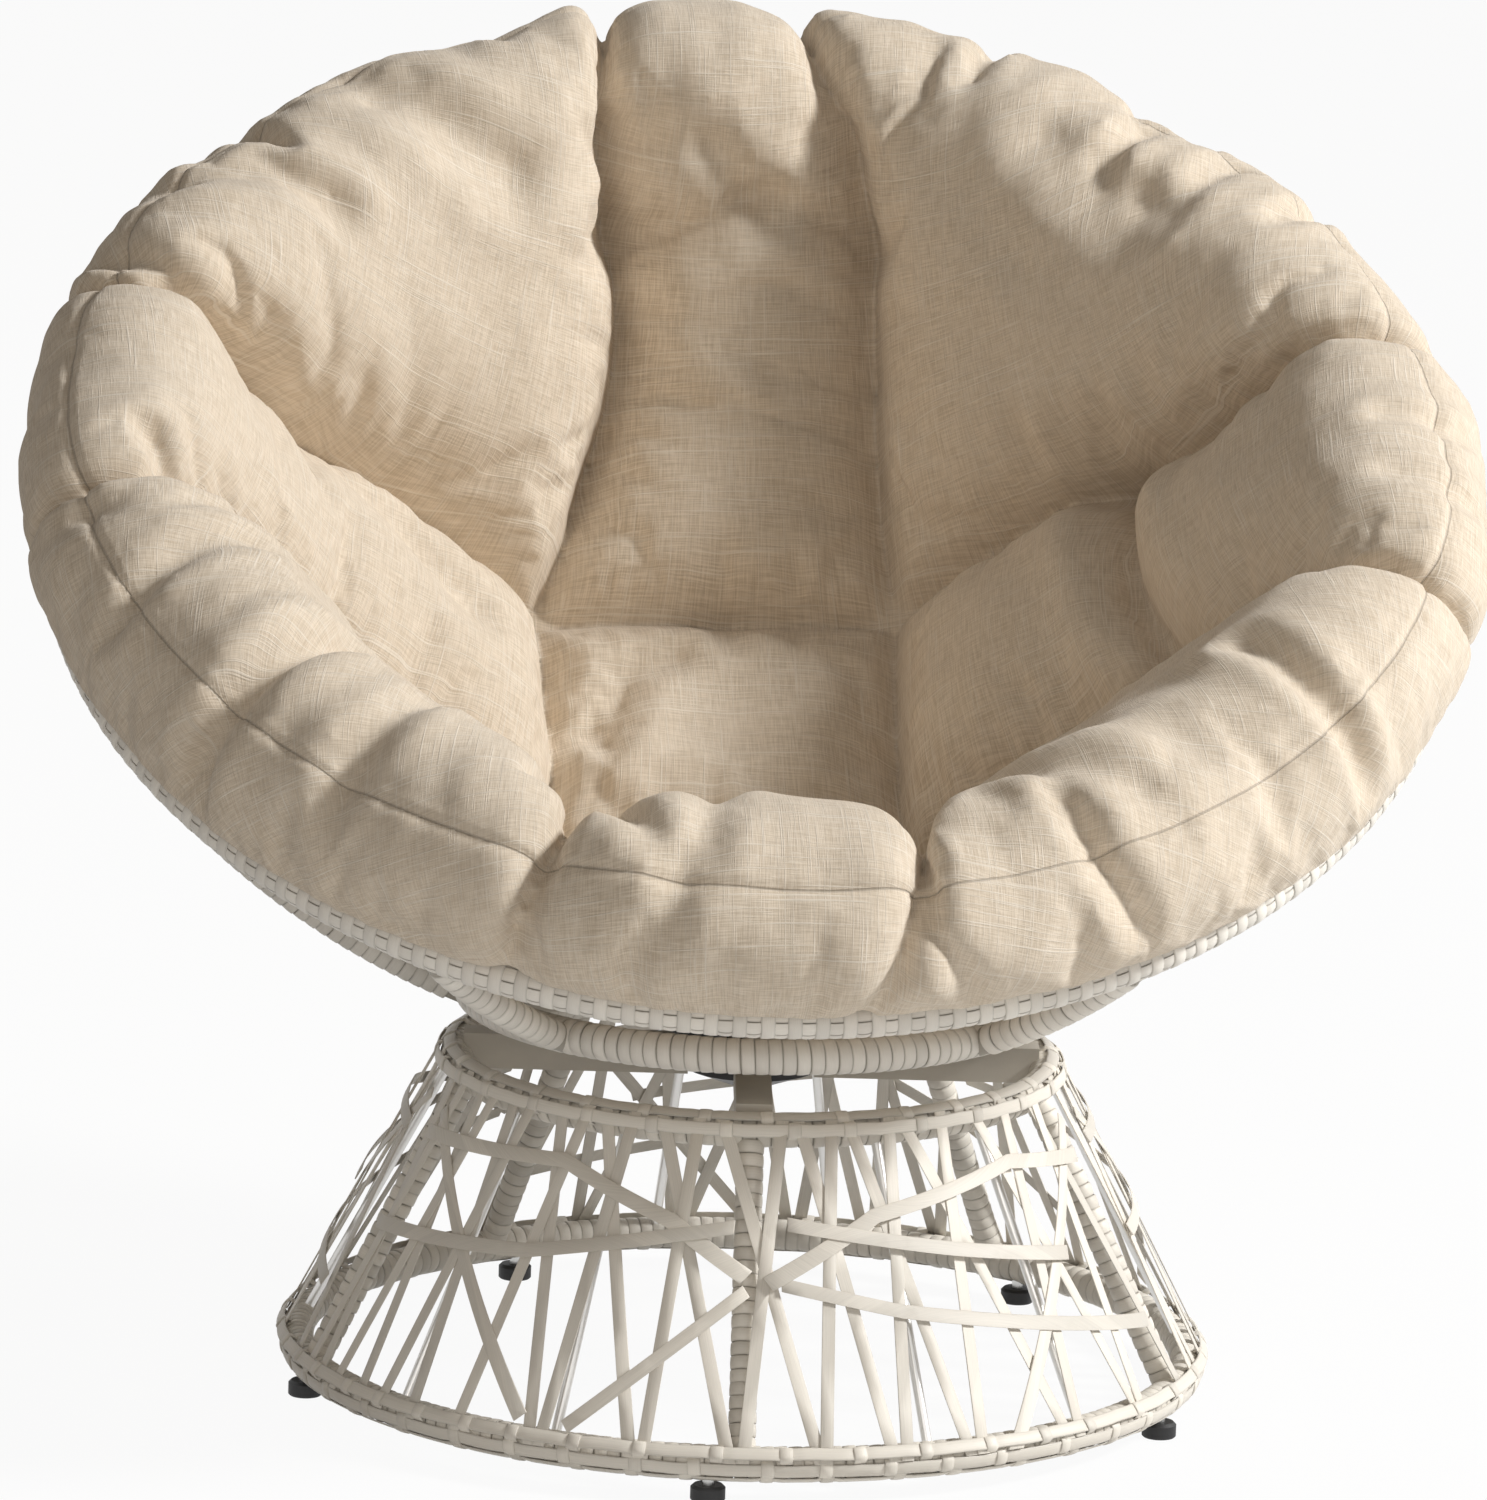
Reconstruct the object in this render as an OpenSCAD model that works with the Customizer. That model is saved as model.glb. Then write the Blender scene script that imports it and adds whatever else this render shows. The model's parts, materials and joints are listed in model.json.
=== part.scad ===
// Swivel papasan chair: a tilted round wicker bowl with a tufted cushion, on an open woven drum base.
// Origin: the swivel axis at floor level. +Z is up, and the seat faces -Y. Millimetres.

/* [Base hoops] */
// Radius of the floor hoop, to the centre of its tube
floor_hoop_r = 315; // [300:1:330]
// Height of the floor hoop's centre
floor_hoop_z = 27; // [26:1:32]
// Radius of the neck hoop, to the centre of its tube
neck_hoop_r = 207.5; // [202:0.5:215]
// Height of the neck hoop's centre
neck_hoop_z = 232; // [226:1:236]
// Radius of the steel bar in both base hoops
base_bar_r = 10; // [9:0.5:11]
// Thickness of the resin winding on the base frame
base_wrap = 1.5; // [1.2:0.1:1.8]
// Turn of the base under the bowl at rest
base_turn = -5; // [-15:1:15]

/* [Base posts and rods] */
// Number of wrapped posts between the base hoops
post_count = 5; // [4:1:6]
// Radius of the steel in a post
post_r = 8; // [7:0.5:8]
// Radius of a thin inner rod
rod_r = 3.5; // [3:0.5:4]
// Thin rods in each bay between two posts
rods_per_bay = 2; // [1:1:2]

/* [Cross arms and hub] */
// Width and height of the square tube in both crosses
arm_w = 25; // [22:1:26]
// Wall of the square tube
arm_wall = 1.5; // [1.2:0.1:2]
// Height of the underside of the base cross
arm_z = 224.5; // [222:0.5:226]
// Outer radius of the bearing hub
hub_r = 46; // [42:1:50]
// Height of the hub's lower mouth
hub_bottom_z = 217; // [215:1:219]
// Height of the hub's top face
hub_top_z = 252; // [251:0.5:253]
// Radius of the hub's lower mouth
hub_mouth_r = 17; // [16:0.5:20]

/* [Swivel bearing] */
// Radius of the swivel spindle
spindle_r = 10; // [9:0.5:11]
// Radius of the threaded end of the spindle
thread_r = 6; // [5:0.5:6.5]
// Wall of the two plain bushes
bush_wall = 2.95; // [2.5:0.05:3]
// Length of each bush inside the hub
bush_len = 10; // [8:1:11]
// Radius of a thrust ball
ball_r = 2.95; // [2.5:0.05:3]
// Number of thrust balls
ball_count = 12; // [10:1:14]
// Radius of the circle that the balls run on
ball_circle_r = 26; // [25:0.5:27]
// Thickness of each thrust race
race_t = 3; // [2.5:0.1:3]
// Half the width of each thrust race
race_half_w = 8; // [7:0.5:8]
// Thickness of the swivel plate under the bowl
plate_t = 5; // [4:0.5:6]
// Side of the swivel plate
plate_w = 120; // [112:1:126]
// Distance of the plate bolts from the swivel axis
bolt_circle_r = 48; // [46:1:50]
// Radius of a plate bolt
bolt_r = 4; // [3:0.5:4]

/* [Bowl frame] */
// Radius of the rim hoop, to the centre of its tube
rim_r = 491; // [470:1:505]
// Depth from the rim plane to the centre of the bowl's sphere
rim_height = 255; // [240:1:265]
// Tilt of the rim back from the level
bowl_tilt = 30; // [28:1:32]
// Radius of the seat hoop, to the centre of its tube
seat_hoop_r = 199; // [194:1:204]
// Radius of the steel bar in the rim hoop
rim_bar_r = 12; // [11:0.5:12.5]
// Radius of the steel bar in the seat hoop
seat_bar_r = 11; // [10:0.5:11]
// Thickness of the resin winding on the rim hoop
rim_wrap = 1.9; // [1.5:0.1:2.1]
// Thickness of the resin winding on the seat hoop and the ribs
bowl_wrap = 1.4; // [1.2:0.1:1.6]
// Number of places for ribs from the seat hoop to the rim; the one at the front stays free
rib_count = 8; // [6:1:10]
// Radius of the steel bar in a rib
rib_bar_r = 9.5; // [8:0.5:9.5]
// How far the ribs lie outside the hoops' sphere
rib_offset = 2.5; // [1:0.5:2.5]

/* [Weave] */
// Width of a flat resin strand
strand_w = 9; // [7:0.5:10]
// Thickness of a flat resin strand
strand_t = 0.9; // [0.7:0.1:0.95]
// Step from one layer of strands to the next
strand_step = 1.05; // [1:0.05:1.2]
// Lean of the bowl's steep strands, in degrees about the swivel axis
bowl_lean = 9; // [6:1:12]
// Spacing of the bowl's steep strands, in degrees about the swivel axis
bowl_pitch = 9; // [8:1:12]
// How unevenly the bowl's steep strands are spaced, in degrees
bowl_sway = 1.5; // [0:0.5:2]

/* [Feet] */
// Radius of a rubber foot
foot_r = 12; // [10:1:13]
// Height of a rubber foot
foot_h = 11; // [9:0.5:11]
// Radius of the stud in a foot
stud_r = 4; // [3:0.5:4]
// Turn of the feet from the posts
foot_turn = -4; // [-8:1:8]

/* [Cushion] */
// Thickness of the cushion below its rolled edge
cushion_t = 110; // [100:1:125]
// How far inside the rim hoop's circle the cushion's rolled edge runs
roll_inset = 41; // [36:1:50]
// Radius of the rolled edge itself
roll_r = 68; // [60:1:72]
// Height of the middle of the rolled edge over the rim plane
roll_rise = 50; // [44:1:58]

/* [Hidden] */
$fn = 64;
hoop_fn = 240; // fineness of everything that runs round a hoop or along the bowl

// Clearances
seat_gap = 0.05; // between a coped bar end and the bar that it is welded to
sleeve_gap = 0.1; // between a bar and the winding on it
clear_gap = 0.3; // between windings that meet, and between soft and hard pieces
run_gap = 0.05; // radial clearance of a running fit

// Base: the line from the floor hoop to the neck hoop
slant_run = floor_hoop_r - neck_hoop_r;
slant_rise = neck_hoop_z - floor_hoop_z;
slant_len = norm([slant_run, slant_rise]);
slant_lean = atan2(slant_run, slant_rise);
base_wrap_r = base_bar_r + sleeve_gap + base_wrap;
post_wrap_r = post_r + sleeve_gap + base_wrap;
bay = 360 / post_count;
arm_turn = 0.6;
end_plug = 3; // a base arm's closed end, measured from the neck hoop's bar
hub_bore_r = spindle_r + run_gap + bush_wall + run_gap;

// Weave: strands lie in layers outside the posts, which run on the same cone
weave_inner = max(base_wrap_r, post_wrap_r) + sleeve_gap;
neck_runner_layer = 2; // over the steep strands
floor_runner_layer = 3; // over the steep strands and the diagonals' ends
tuck = 4; // how far a strand runs past the point where it leaves its hoop
span_low = -tuck;
span_high = slant_len + tuck;

// Swivel stack, from the hub's top face upwards
lower_race_z = hub_top_z;
ball_z = lower_race_z + race_t + run_gap + ball_r;
upper_race_z = ball_z + ball_r + run_gap;
plate_z = upper_race_z + race_t;
bar_z = plate_z + plate_t;
bar_top_z = bar_z + arm_w;
lower_bush_z = hub_bottom_z + 13;
bush_flange_t = 2;
flange_r = ball_circle_r - race_half_w - 1;
spindle_head_t = 4.5;
shoulder_z = lower_bush_z - 0.2;
washer_t = 2;
washer_r = hub_bore_r - 0.55;
nut_h = 9;
nut_r = 10.9;
thread_end_z = shoulder_z - washer_t - nut_h - 0.8;
bolt_head_h = 4;
bolt_nut_h = 6.5;
bolt_nut_r = 7.5;

// Bowl: both hoops and the ribs follow one sphere, centred on the swivel axis
seat_hoop_z = bar_z + arm_w / 2 + 0.45;
sphere_r = norm([rim_r, rim_height]);
sphere_z = seat_hoop_z + sqrt(pow(sphere_r, 2) - pow(seat_hoop_r, 2));
seat_angle = asin(seat_hoop_r / sphere_r);
rim_wrap_r = rim_bar_r + sleeve_gap + rim_wrap;
seat_wrap_r = seat_bar_r + sleeve_gap + bowl_wrap;
rib_wrap_r = rib_bar_r + sleeve_gap + bowl_wrap;
rib_path_r = sphere_r + rib_offset;
bowl_weave_r = sphere_r - rim_wrap_r - sleeve_gap - strand_t;
bowl_weave_layers = 4;

bowl_front_open = 48; // no strands within this many degrees of the front

// Cushion: it lies inside the strands, and its rolled edge rests on the rim
cushion_out_r = bowl_weave_r - (bowl_weave_layers - 1) * strand_step - clear_gap;
cushion_in_r = cushion_out_r - cushion_t;
cushion_floor_z = bar_top_z + bolt_head_h + 1.5;
roll_circle_r = rim_r - roll_inset;
roll_z = roll_rise - rim_height;
too_big = 1400;

// ---- Shared forms ----

module ring(r, tube_r)
    rotate_extrude($fn = hoop_fn)
        translate([r, 0])
            circle(r = tube_r);

module sleeve(r, outer_r, inner_r)
    rotate_extrude($fn = hoop_fn)
        translate([r, 0])
            difference() {
                circle(r = outer_r);
                circle(r = inner_r);
            }

module tube(outer_r, inner_r, h)
    difference() {
        cylinder(r = outer_r, h = h);
        translate([0, 0, -1])
            cylinder(r = inner_r, h = h + 2);
    }

// Things on the base, turned to angle a from the front
module base_at(a)
    rotate([0, 0, base_turn + a])
        children();

// A round bar from the floor hoop's centre line to the neck hoop's, at angle a
module slanted_bar(a, r)
    base_at(a)
        translate([0, -floor_hoop_r, floor_hoop_z])
            rotate([-slant_lean, 0, 0])
                cylinder(r = r, h = slant_len);

module floor_ring(tube_r)
    translate([0, 0, floor_hoop_z])
        ring(floor_hoop_r, tube_r);

module neck_ring(tube_r)
    translate([0, 0, neck_hoop_z])
        ring(neck_hoop_r, tube_r);

function post_angles() = [for (i = [0:post_count - 1]) i * bay];
function rod_angles() = [for (i = [0:post_count - 1], j = [1:rods_per_bay]) (i + j / (rods_per_bay + 1)) * bay];

// ---- Base hoops ----

module floor_hoop()
    color("gainsboro")
        floor_ring(base_bar_r);

module neck_hoop()
    color("gainsboro")
        neck_ring(base_bar_r);

module frame_bar_holes() {
    for (a = post_angles())
        slanted_bar(a, post_r + clear_gap);
    for (a = rod_angles())
        slanted_bar(a, rod_r + clear_gap);
}

module stud_holes()
    for (a = post_angles())
        base_at(a + foot_turn)
            translate([0, -floor_hoop_r, 0])
                cylinder(r = stud_r + clear_gap, h = floor_hoop_z);

module floor_hoop_wrap()
    color("antiquewhite")
        difference() {
            translate([0, 0, floor_hoop_z])
                sleeve(floor_hoop_r, base_wrap_r, base_bar_r + sleeve_gap);
            frame_bar_holes();
            stud_holes();
        }

module neck_hoop_wrap()
    color("antiquewhite")
        difference() {
            translate([0, 0, neck_hoop_z])
                sleeve(neck_hoop_r, base_wrap_r, base_bar_r + sleeve_gap);
            frame_bar_holes();
            base_cross_blanks(arm_w + 2 * clear_gap, clear_gap);
        }

// A flat runner laid along a hoop, at angle a round the hoop's tube and distance d from its centre
module runner(hoop_r, hoop_z, a, d)
    translate([0, 0, hoop_z])
        rotate_extrude($fn = hoop_fn)
            translate([hoop_r, 0])
                rotate(a)
                    translate([d, -strand_w / 2])
                        square([strand_t, strand_w]);

module floor_hoop_runners()
    color("antiquewhite")
        difference() {
            union() {
                runner(floor_hoop_r, floor_hoop_z, slant_lean, layer_d(floor_runner_layer));
                runner(floor_hoop_r, floor_hoop_z, slant_lean - 57, base_wrap_r + clear_gap);
                runner(floor_hoop_r, floor_hoop_z, slant_lean - 112, base_wrap_r + clear_gap);
            }
            stud_holes();
        }

module neck_hoop_runners()
    color("antiquewhite") {
        runner(neck_hoop_r, neck_hoop_z, slant_lean, layer_d(neck_runner_layer));
        runner(neck_hoop_r, neck_hoop_z, slant_lean + 57, base_wrap_r + clear_gap);
    }

// ---- Posts and rods ----

module base_posts()
    color("gainsboro")
        difference() {
            for (a = post_angles())
                slanted_bar(a, post_r);
            floor_ring(base_bar_r + seat_gap);
            neck_ring(base_bar_r + seat_gap);
        }

module base_post_wraps()
    color("antiquewhite")
        difference() {
            for (a = post_angles())
                slanted_bar(a, post_wrap_r);
            for (a = post_angles())
                slanted_bar(a, post_r + sleeve_gap);
            floor_ring(base_wrap_r + clear_gap);
            neck_ring(base_wrap_r + clear_gap);
        }

module base_rods()
    color("silver")
        difference() {
            for (a = rod_angles())
                slanted_bar(a, rod_r);
            floor_ring(base_bar_r + seat_gap);
            neck_ring(base_bar_r + seat_gap);
        }

// ---- Feet ----

module rubber_feet()
    color("black")
        for (a = post_angles())
            base_at(a + foot_turn)
                translate([0, -floor_hoop_r, 0])
                    difference() {
                        rotate_extrude()
                            polygon([[0, 0], [foot_r - 1, 0], [foot_r, 1], [foot_r, foot_h - 2],
                                [foot_r - 2, foot_h], [0, foot_h]]);
                        translate([0, 0, foot_h / 2])
                            cylinder(r = stud_r + run_gap, h = foot_h);
                    }

module foot_studs()
    color("silver")
        difference() {
            for (a = post_angles())
                base_at(a + foot_turn)
                    translate([0, -floor_hoop_r, foot_h / 2])
                        cylinder(r = stud_r, h = floor_hoop_z - foot_h / 2);
            floor_ring(base_bar_r + seat_gap);
        }

// ---- Base cross and hub ----

// Four square bars of width w, grown by g above and below, out to the neck hoop
module base_cross_blanks(w, g)
    for (a = [0, 90, 180, 270])
        base_at(a + arm_turn)
            translate([-w / 2, -neck_hoop_r + base_bar_r / 2, arm_z - g])
                cube([w, neck_hoop_r - base_bar_r / 2 - hub_r / 2, arm_w + 2 * g]);

module base_cross_arms()
    color("lightgray")
        difference() {
            base_cross_blanks(arm_w, 0);
            for (a = [0, 90, 180, 270])
                base_at(a + arm_turn)
                    translate([-arm_w / 2 + arm_wall, -neck_hoop_r + base_bar_r + end_plug, arm_z + arm_wall])
                        cube([arm_w - 2 * arm_wall, neck_hoop_r - base_bar_r - end_plug, arm_w - 2 * arm_wall]);
            translate([0, 0, arm_z - 1])
                cylinder(r = hub_r + seat_gap, h = arm_w + 2);
            neck_ring(base_bar_r + seat_gap);
            for (a = post_angles())
                slanted_bar(a, post_wrap_r + clear_gap);
        }

module hub_housing()
    color("black")
        rotate_extrude()
            polygon([[hub_bore_r, hub_bottom_z], [hub_mouth_r, hub_bottom_z], [hub_r, hub_bottom_z + 11],
                [hub_r, hub_top_z - 1], [hub_r - 1, hub_top_z], [hub_bore_r, hub_top_z]]);

// ---- Base weave ----

// Radius of the strand layer at distance s up the slant from the floor hoop, and its height
function layer_d(layer) = weave_inner + layer * strand_step;
function slant_r(s, d) = floor_hoop_r - s * sin(slant_lean) + d * cos(slant_lean);
function slant_z(s, d) = floor_hoop_z + s * cos(slant_lean) + d * sin(slant_lean);

module strand_layer(layer) {
    d = layer_d(layer);
    rotate_extrude($fn = hoop_fn)
        polygon([[slant_r(span_low, d), slant_z(span_low, d)],
            [slant_r(span_low, d + strand_t), slant_z(span_low, d + strand_t)],
            [slant_r(span_high, d + strand_t), slant_z(span_high, d + strand_t)],
            [slant_r(span_high, d), slant_z(span_high, d)]]);
}

// Corner points of a bent strip of width w along the points p
function unit(v) = v / norm(v);
function left_of(v) = [-v[1], v[0]];
function miter(p, i) =
    i == 0 ? left_of(unit(p[1] - p[0])) :
    i == len(p) - 1 ? left_of(unit(p[i] - p[i - 1])) :
    let (m = unit(left_of(unit(p[i] - p[i - 1])) + left_of(unit(p[i + 1] - p[i]))))
    m / (m * left_of(unit(p[i + 1] - p[i])));
function strip(p, w) = concat(
    [for (i = [0:len(p) - 1]) p[i] + miter(p, i) * w / 2],
    [for (i = [len(p) - 1:-1:0]) p[i] - miter(p, i) * w / 2]);

// One strand in a layer. path is a list of [degrees from the bay's post, share of the slant]
module strand(path, layer) {
    middle = (path[0][0] + path[len(path) - 1][0]) / 2;
    d = layer_d(layer);
    points = [for (q = path)
        [slant_r(q[1] * slant_len, d) * sin(q[0] - middle), slant_z(q[1] * slant_len, d)]];
    rotate([0, 0, middle])
        intersection() {
            strand_layer(layer);
            rotate([90, 0, 0])
                linear_extrude(floor_hoop_r * 1.2)
                    polygon(strip(points, strand_w));
        }
}

// Steep strands run from hoop to hoop: [degrees at the neck, degrees at the floor]
right_bay_right_lean = [[8, 19], [17, 29], [27, 44], [43, 58], [60, 71]];
right_bay_left_lean = [[6, 0], [15, 10], [26, 20], [37, 30], [53, 45], [63, 58]];
left_bay_right_lean = [[2, 8], [14, 18], [24, 28], [35, 46], [44, 59], [55, 71], [66, 82]];
left_bay_left_lean = [[9, 4], [20, 12], [30, 22], [42, 35], [51, 47], [63, 60]];

module steep(pairs, layer)
    for (q = pairs)
        strand([[q[0], 1.06], [q[1], -0.06]], layer);

// Which bays carry the right-hand pattern; the others carry the left-hand one
function is_right(i) = i % 3 != 1;

module weave_right_lean()
    color("linen")
        for (i = [0:post_count - 1])
            base_at(i * bay)
                steep(is_right(i) ? right_bay_right_lean : left_bay_right_lean, 0);

module weave_left_lean()
    color("linen")
        for (i = [0:post_count - 1])
            base_at(i * bay)
                steep(is_right(i) ? right_bay_left_lean : left_bay_left_lean, 1);

module weave_diagonals()
    color("linen")
        for (i = [0:post_count - 1])
            base_at(i * bay)
                if (is_right(i)) {
                    strand([[70, 0.9], [34, -0.04]], 2);
                    strand([[5, 0.52], [22, 0.43], [68, 0.24]], 3);
                } else {
                    strand([[6, 0.88], [44, 0.06]], 2);
                    strand([[50, 0.05], [72, 0.5]], 2);
                }

module weave_bands()
    color("linen")
        for (i = [0:post_count - 1])
            base_at(i * bay)
                if (is_right(i)) {
                    strand([[3, 0.52], [20, 0.72], [48, 0.83], [68, 0.78]], 4);
                    strand([[6, 0.7], [32, 0.6], [54, 0.52]], 5);
                } else {
                    strand([[5, 0.8], [40, 0.84], [60, 0.7], [72, 0.54]], 3);
                    strand([[4, 0.49], [38, 0.55], [70, 0.69]], 4);
                }

// ---- Swivel ----

module bush(flange) {
    tube(spindle_r + run_gap + bush_wall, spindle_r + run_gap, bush_len);
    if (flange)
        translate([0, 0, bush_len])
            tube(flange_r, spindle_r + run_gap, bush_flange_t);
}

module lower_bush()
    color("ivory")
        translate([0, 0, lower_bush_z])
            bush(false);

module upper_bush()
    color("ivory")
        translate([0, 0, hub_top_z - bush_len])
            bush(true);

module race()
    tube(ball_circle_r + race_half_w, ball_circle_r - race_half_w, race_t);

module lower_race()
    color("silver")
        translate([0, 0, lower_race_z])
            race();

module upper_race()
    color("silver")
        translate([0, 0, upper_race_z])
            race();

module ball_cage()
    color("goldenrod")
        difference() {
            translate([0, 0, ball_z - 1])
                tube(ball_circle_r + race_half_w - 2.5, ball_circle_r - race_half_w + 2.5, 2);
            for (i = [0:ball_count - 1])
                rotate([0, 0, i * 360 / ball_count])
                    translate([ball_circle_r, 0, ball_z - 2])
                        cylinder(r = ball_r + run_gap, h = 4);
        }

module thrust_balls()
    color("silver")
        for (i = [0:ball_count - 1])
            rotate([0, 0, i * 360 / ball_count])
                translate([ball_circle_r, 0, ball_z])
                    sphere(r = ball_r);

module spindle()
    color("silver")
        rotate_extrude()
            polygon([[0, thread_end_z], [thread_r - 1, thread_end_z], [thread_r, thread_end_z + 1],
                [thread_r, shoulder_z], [spindle_r, shoulder_z], [spindle_r, plate_z - spindle_head_t],
                [flange_r, plate_z - spindle_head_t], [flange_r, plate_z], [0, plate_z]]);

module spindle_washer()
    color("silver")
        translate([0, 0, shoulder_z - washer_t])
            tube(washer_r, thread_r + run_gap, washer_t);

module spindle_nut()
    color("dimgray")
        translate([0, 0, shoulder_z - washer_t - nut_h])
            difference() {
                cylinder(r = nut_r, h = nut_h, $fn = 6);
                translate([0, 0, -1])
                    cylinder(r = thread_r + run_gap, h = nut_h + 2);
            }

module at_bolts()
    for (a = [0, 90, 180, 270])
        rotate([0, 0, a])
            translate([0, -bolt_circle_r, 0])
                children();

module swivel_plate()
    color("dimgray")
        difference() {
            intersection() {
                translate([-plate_w / 2, -plate_w / 2, plate_z])
                    cube([plate_w, plate_w, plate_t]);
                translate([0, 0, plate_z - 1])
                    cylinder(r = plate_w * 0.65, h = plate_t + 2);
            }
            at_bolts()
                translate([0, 0, plate_z - 1])
                    cylinder(r = bolt_r + clear_gap, h = plate_t + 2);
        }

module plate_bolts()
    color("silver")
        at_bolts() {
            translate([0, 0, plate_z - bolt_nut_h - 1])
                cylinder(r = bolt_r, h = bar_top_z - plate_z + bolt_nut_h + 1);
            translate([0, 0, bar_top_z])
                cylinder(r1 = bolt_r * 1.8, r2 = bolt_r * 1.2, h = bolt_head_h);
        }

module plate_nuts()
    color("dimgray")
        at_bolts()
            translate([0, 0, plate_z - bolt_nut_h])
                difference() {
                    cylinder(r = bolt_nut_r, h = bolt_nut_h, $fn = 6);
                    translate([0, 0, -1])
                        cylinder(r = bolt_r + run_gap, h = bolt_nut_h + 2);
                }

// ---- Bowl frame ----

// One long bar along X and two short ones along Y, of width w, grown by g above and below
module bowl_cross_blanks(w, g) {
    reach = seat_hoop_r - seat_bar_r / 2;
    translate([-reach, -w / 2, bar_z - g])
        cube([2 * reach, w, arm_w + 2 * g]);
    for (side = [0, 180])
        rotate([0, 0, side])
            translate([-w / 2, arm_w / 2, bar_z - g])
                cube([w, reach - arm_w / 2, arm_w + 2 * g]);
}

module bowl_cross_bars()
    color("lightgray")
        difference() {
            bowl_cross_blanks(arm_w, 0);
            translate([-seat_hoop_r, -arm_w / 2 + arm_wall, bar_z + arm_wall])
                cube([2 * seat_hoop_r, arm_w - 2 * arm_wall, arm_w - 2 * arm_wall]);
            for (side = [0, 180])
                rotate([0, 0, side])
                    translate([-arm_w / 2 + arm_wall, arm_w / 2, bar_z + arm_wall])
                        cube([arm_w - 2 * arm_wall, seat_hoop_r, arm_w - 2 * arm_wall]);
            at_bolts()
                translate([0, 0, bar_z - 1])
                    cylinder(r = bolt_r + clear_gap, h = arm_w + 2);
            seat_ring(seat_bar_r + seat_gap);
        }

module seat_ring(tube_r)
    translate([0, 0, seat_hoop_z])
        ring(seat_hoop_r, tube_r);

// The rim's own frame: origin at the sphere's centre, +Z out of the bowl's mouth
module in_rim_frame()
    translate([0, 0, sphere_z])
        rotate([bowl_tilt, 0, 0])
            children();

module rim_ring(tube_r)
    in_rim_frame()
        translate([0, 0, -rim_height])
            ring(rim_r, tube_r);

module seat_hoop()
    color("gainsboro")
        seat_ring(seat_bar_r);

module rim_hoop()
    color("gainsboro")
        rim_ring(rim_bar_r);

// Angle from straight down at which the sphere meets the rim plane, at azimuth a from the front
function rim_angle(a) =
    let (c = cos(bowl_tilt), s = -sin(bowl_tilt) * cos(a))
    atan2(s, c) + acos(rim_height / sphere_r / norm([c, s]));

// A round bar along the sphere, from the seat hoop's centre to the rim's, at azimuth a
module rib_bar(a, r)
    translate([0, 0, sphere_z])
        rotate([0, 0, a - 90])
            rotate([90, 0, 0])
                rotate([0, 0, seat_angle - 90])
                    rotate_extrude(angle = rim_angle(a) - seat_angle, $fn = hoop_fn)
                        translate([rib_path_r, 0])
                            circle(r = r);

// The place at the front, under the sitter's knees, stays free of a rib
function rib_azimuths() = [for (i = [1:rib_count - 1]) i * 360 / rib_count];

module bowl_ribs()
    color("gainsboro")
        difference() {
            for (a = rib_azimuths())
                rib_bar(a, rib_bar_r);
            seat_ring(seat_bar_r + seat_gap);
            rim_ring(rim_bar_r + seat_gap);
        }

module rib_wraps()
    color("antiquewhite")
        difference() {
            for (a = rib_azimuths())
                rib_bar(a, rib_wrap_r);
            for (a = rib_azimuths())
                rib_bar(a, rib_bar_r + sleeve_gap);
            seat_ring(seat_wrap_r + clear_gap);
            rim_ring(rim_wrap_r + clear_gap);
        }

module seat_hoop_wrap()
    color("antiquewhite")
        difference() {
            translate([0, 0, seat_hoop_z])
                sleeve(seat_hoop_r, seat_wrap_r, seat_bar_r + sleeve_gap);
            for (a = rib_azimuths())
                rib_bar(a, rib_bar_r + clear_gap);
            bowl_cross_blanks(arm_w + 2 * clear_gap, clear_gap);
        }

module rim_hoop_wrap()
    color("antiquewhite")
        difference() {
            in_rim_frame()
                translate([0, 0, -rim_height])
                    sleeve(rim_r, rim_wrap_r, rim_bar_r + sleeve_gap);
            for (a = rib_azimuths())
                rib_bar(a, rib_bar_r + clear_gap);
        }

// ---- Bowl weave ----

// Direction from the sphere's centre at angle t from straight down and azimuth a from the front
function heading(t, a) = [sin(t) * sin(a), -sin(t) * cos(a), -cos(t)];

// A flat strand along the great circle from direction u to direction v, in a layer counted inwards
module bowl_strand(u, v, layer) {
    n = unit(cross(u, v));
    w = cross(n, u);
    translate([0, 0, sphere_z])
        multmatrix([[u[0], w[0], n[0], 0], [u[1], w[1], n[1], 0], [u[2], w[2], n[2], 0], [0, 0, 0, 1]])
            rotate_extrude(angle = acos(u * v), $fn = hoop_fn)
                translate([bowl_weave_r - layer * strand_step, -strand_w / 2])
                    square([strand_t, strand_w]);
}

// Steep strands, which change azimuth by lean on their way from the seat hoop to the rim
module bowl_steep(lean, first, layer)
    for (i = [0:floor((360 - 2 * bowl_front_open - abs(lean)) / bowl_pitch)]) {
        low = first + i * bowl_pitch + bowl_sway * sin(97 * i);
        high = low + lean + bowl_sway * sin(61 * i + 40);
        bowl_strand(heading(seat_angle, low), heading(rim_angle(high), high), layer);
    }

module bowl_weave_right_lean()
    color("linen")
        bowl_steep(bowl_lean, bowl_front_open, 0);

module bowl_weave_left_lean()
    color("linen")
        bowl_steep(-bowl_lean, bowl_front_open + bowl_lean, 1);

// Bands from rib to rib: [angle and azimuth at one end, angle and azimuth at the other]
bowl_bands = [[33, 45, 46, 90], [42, 90, 62, 135], [67, 135, 48, 180], [52, 180, 40, 225], [44, 225, 50, 270],
    [46, 270, 35, 315]];
bowl_counter_bands = [[50, 90, 36, 135], [32, 135, 60, 180], [74, 180, 52, 225], [60, 225, 34, 270]];

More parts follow.
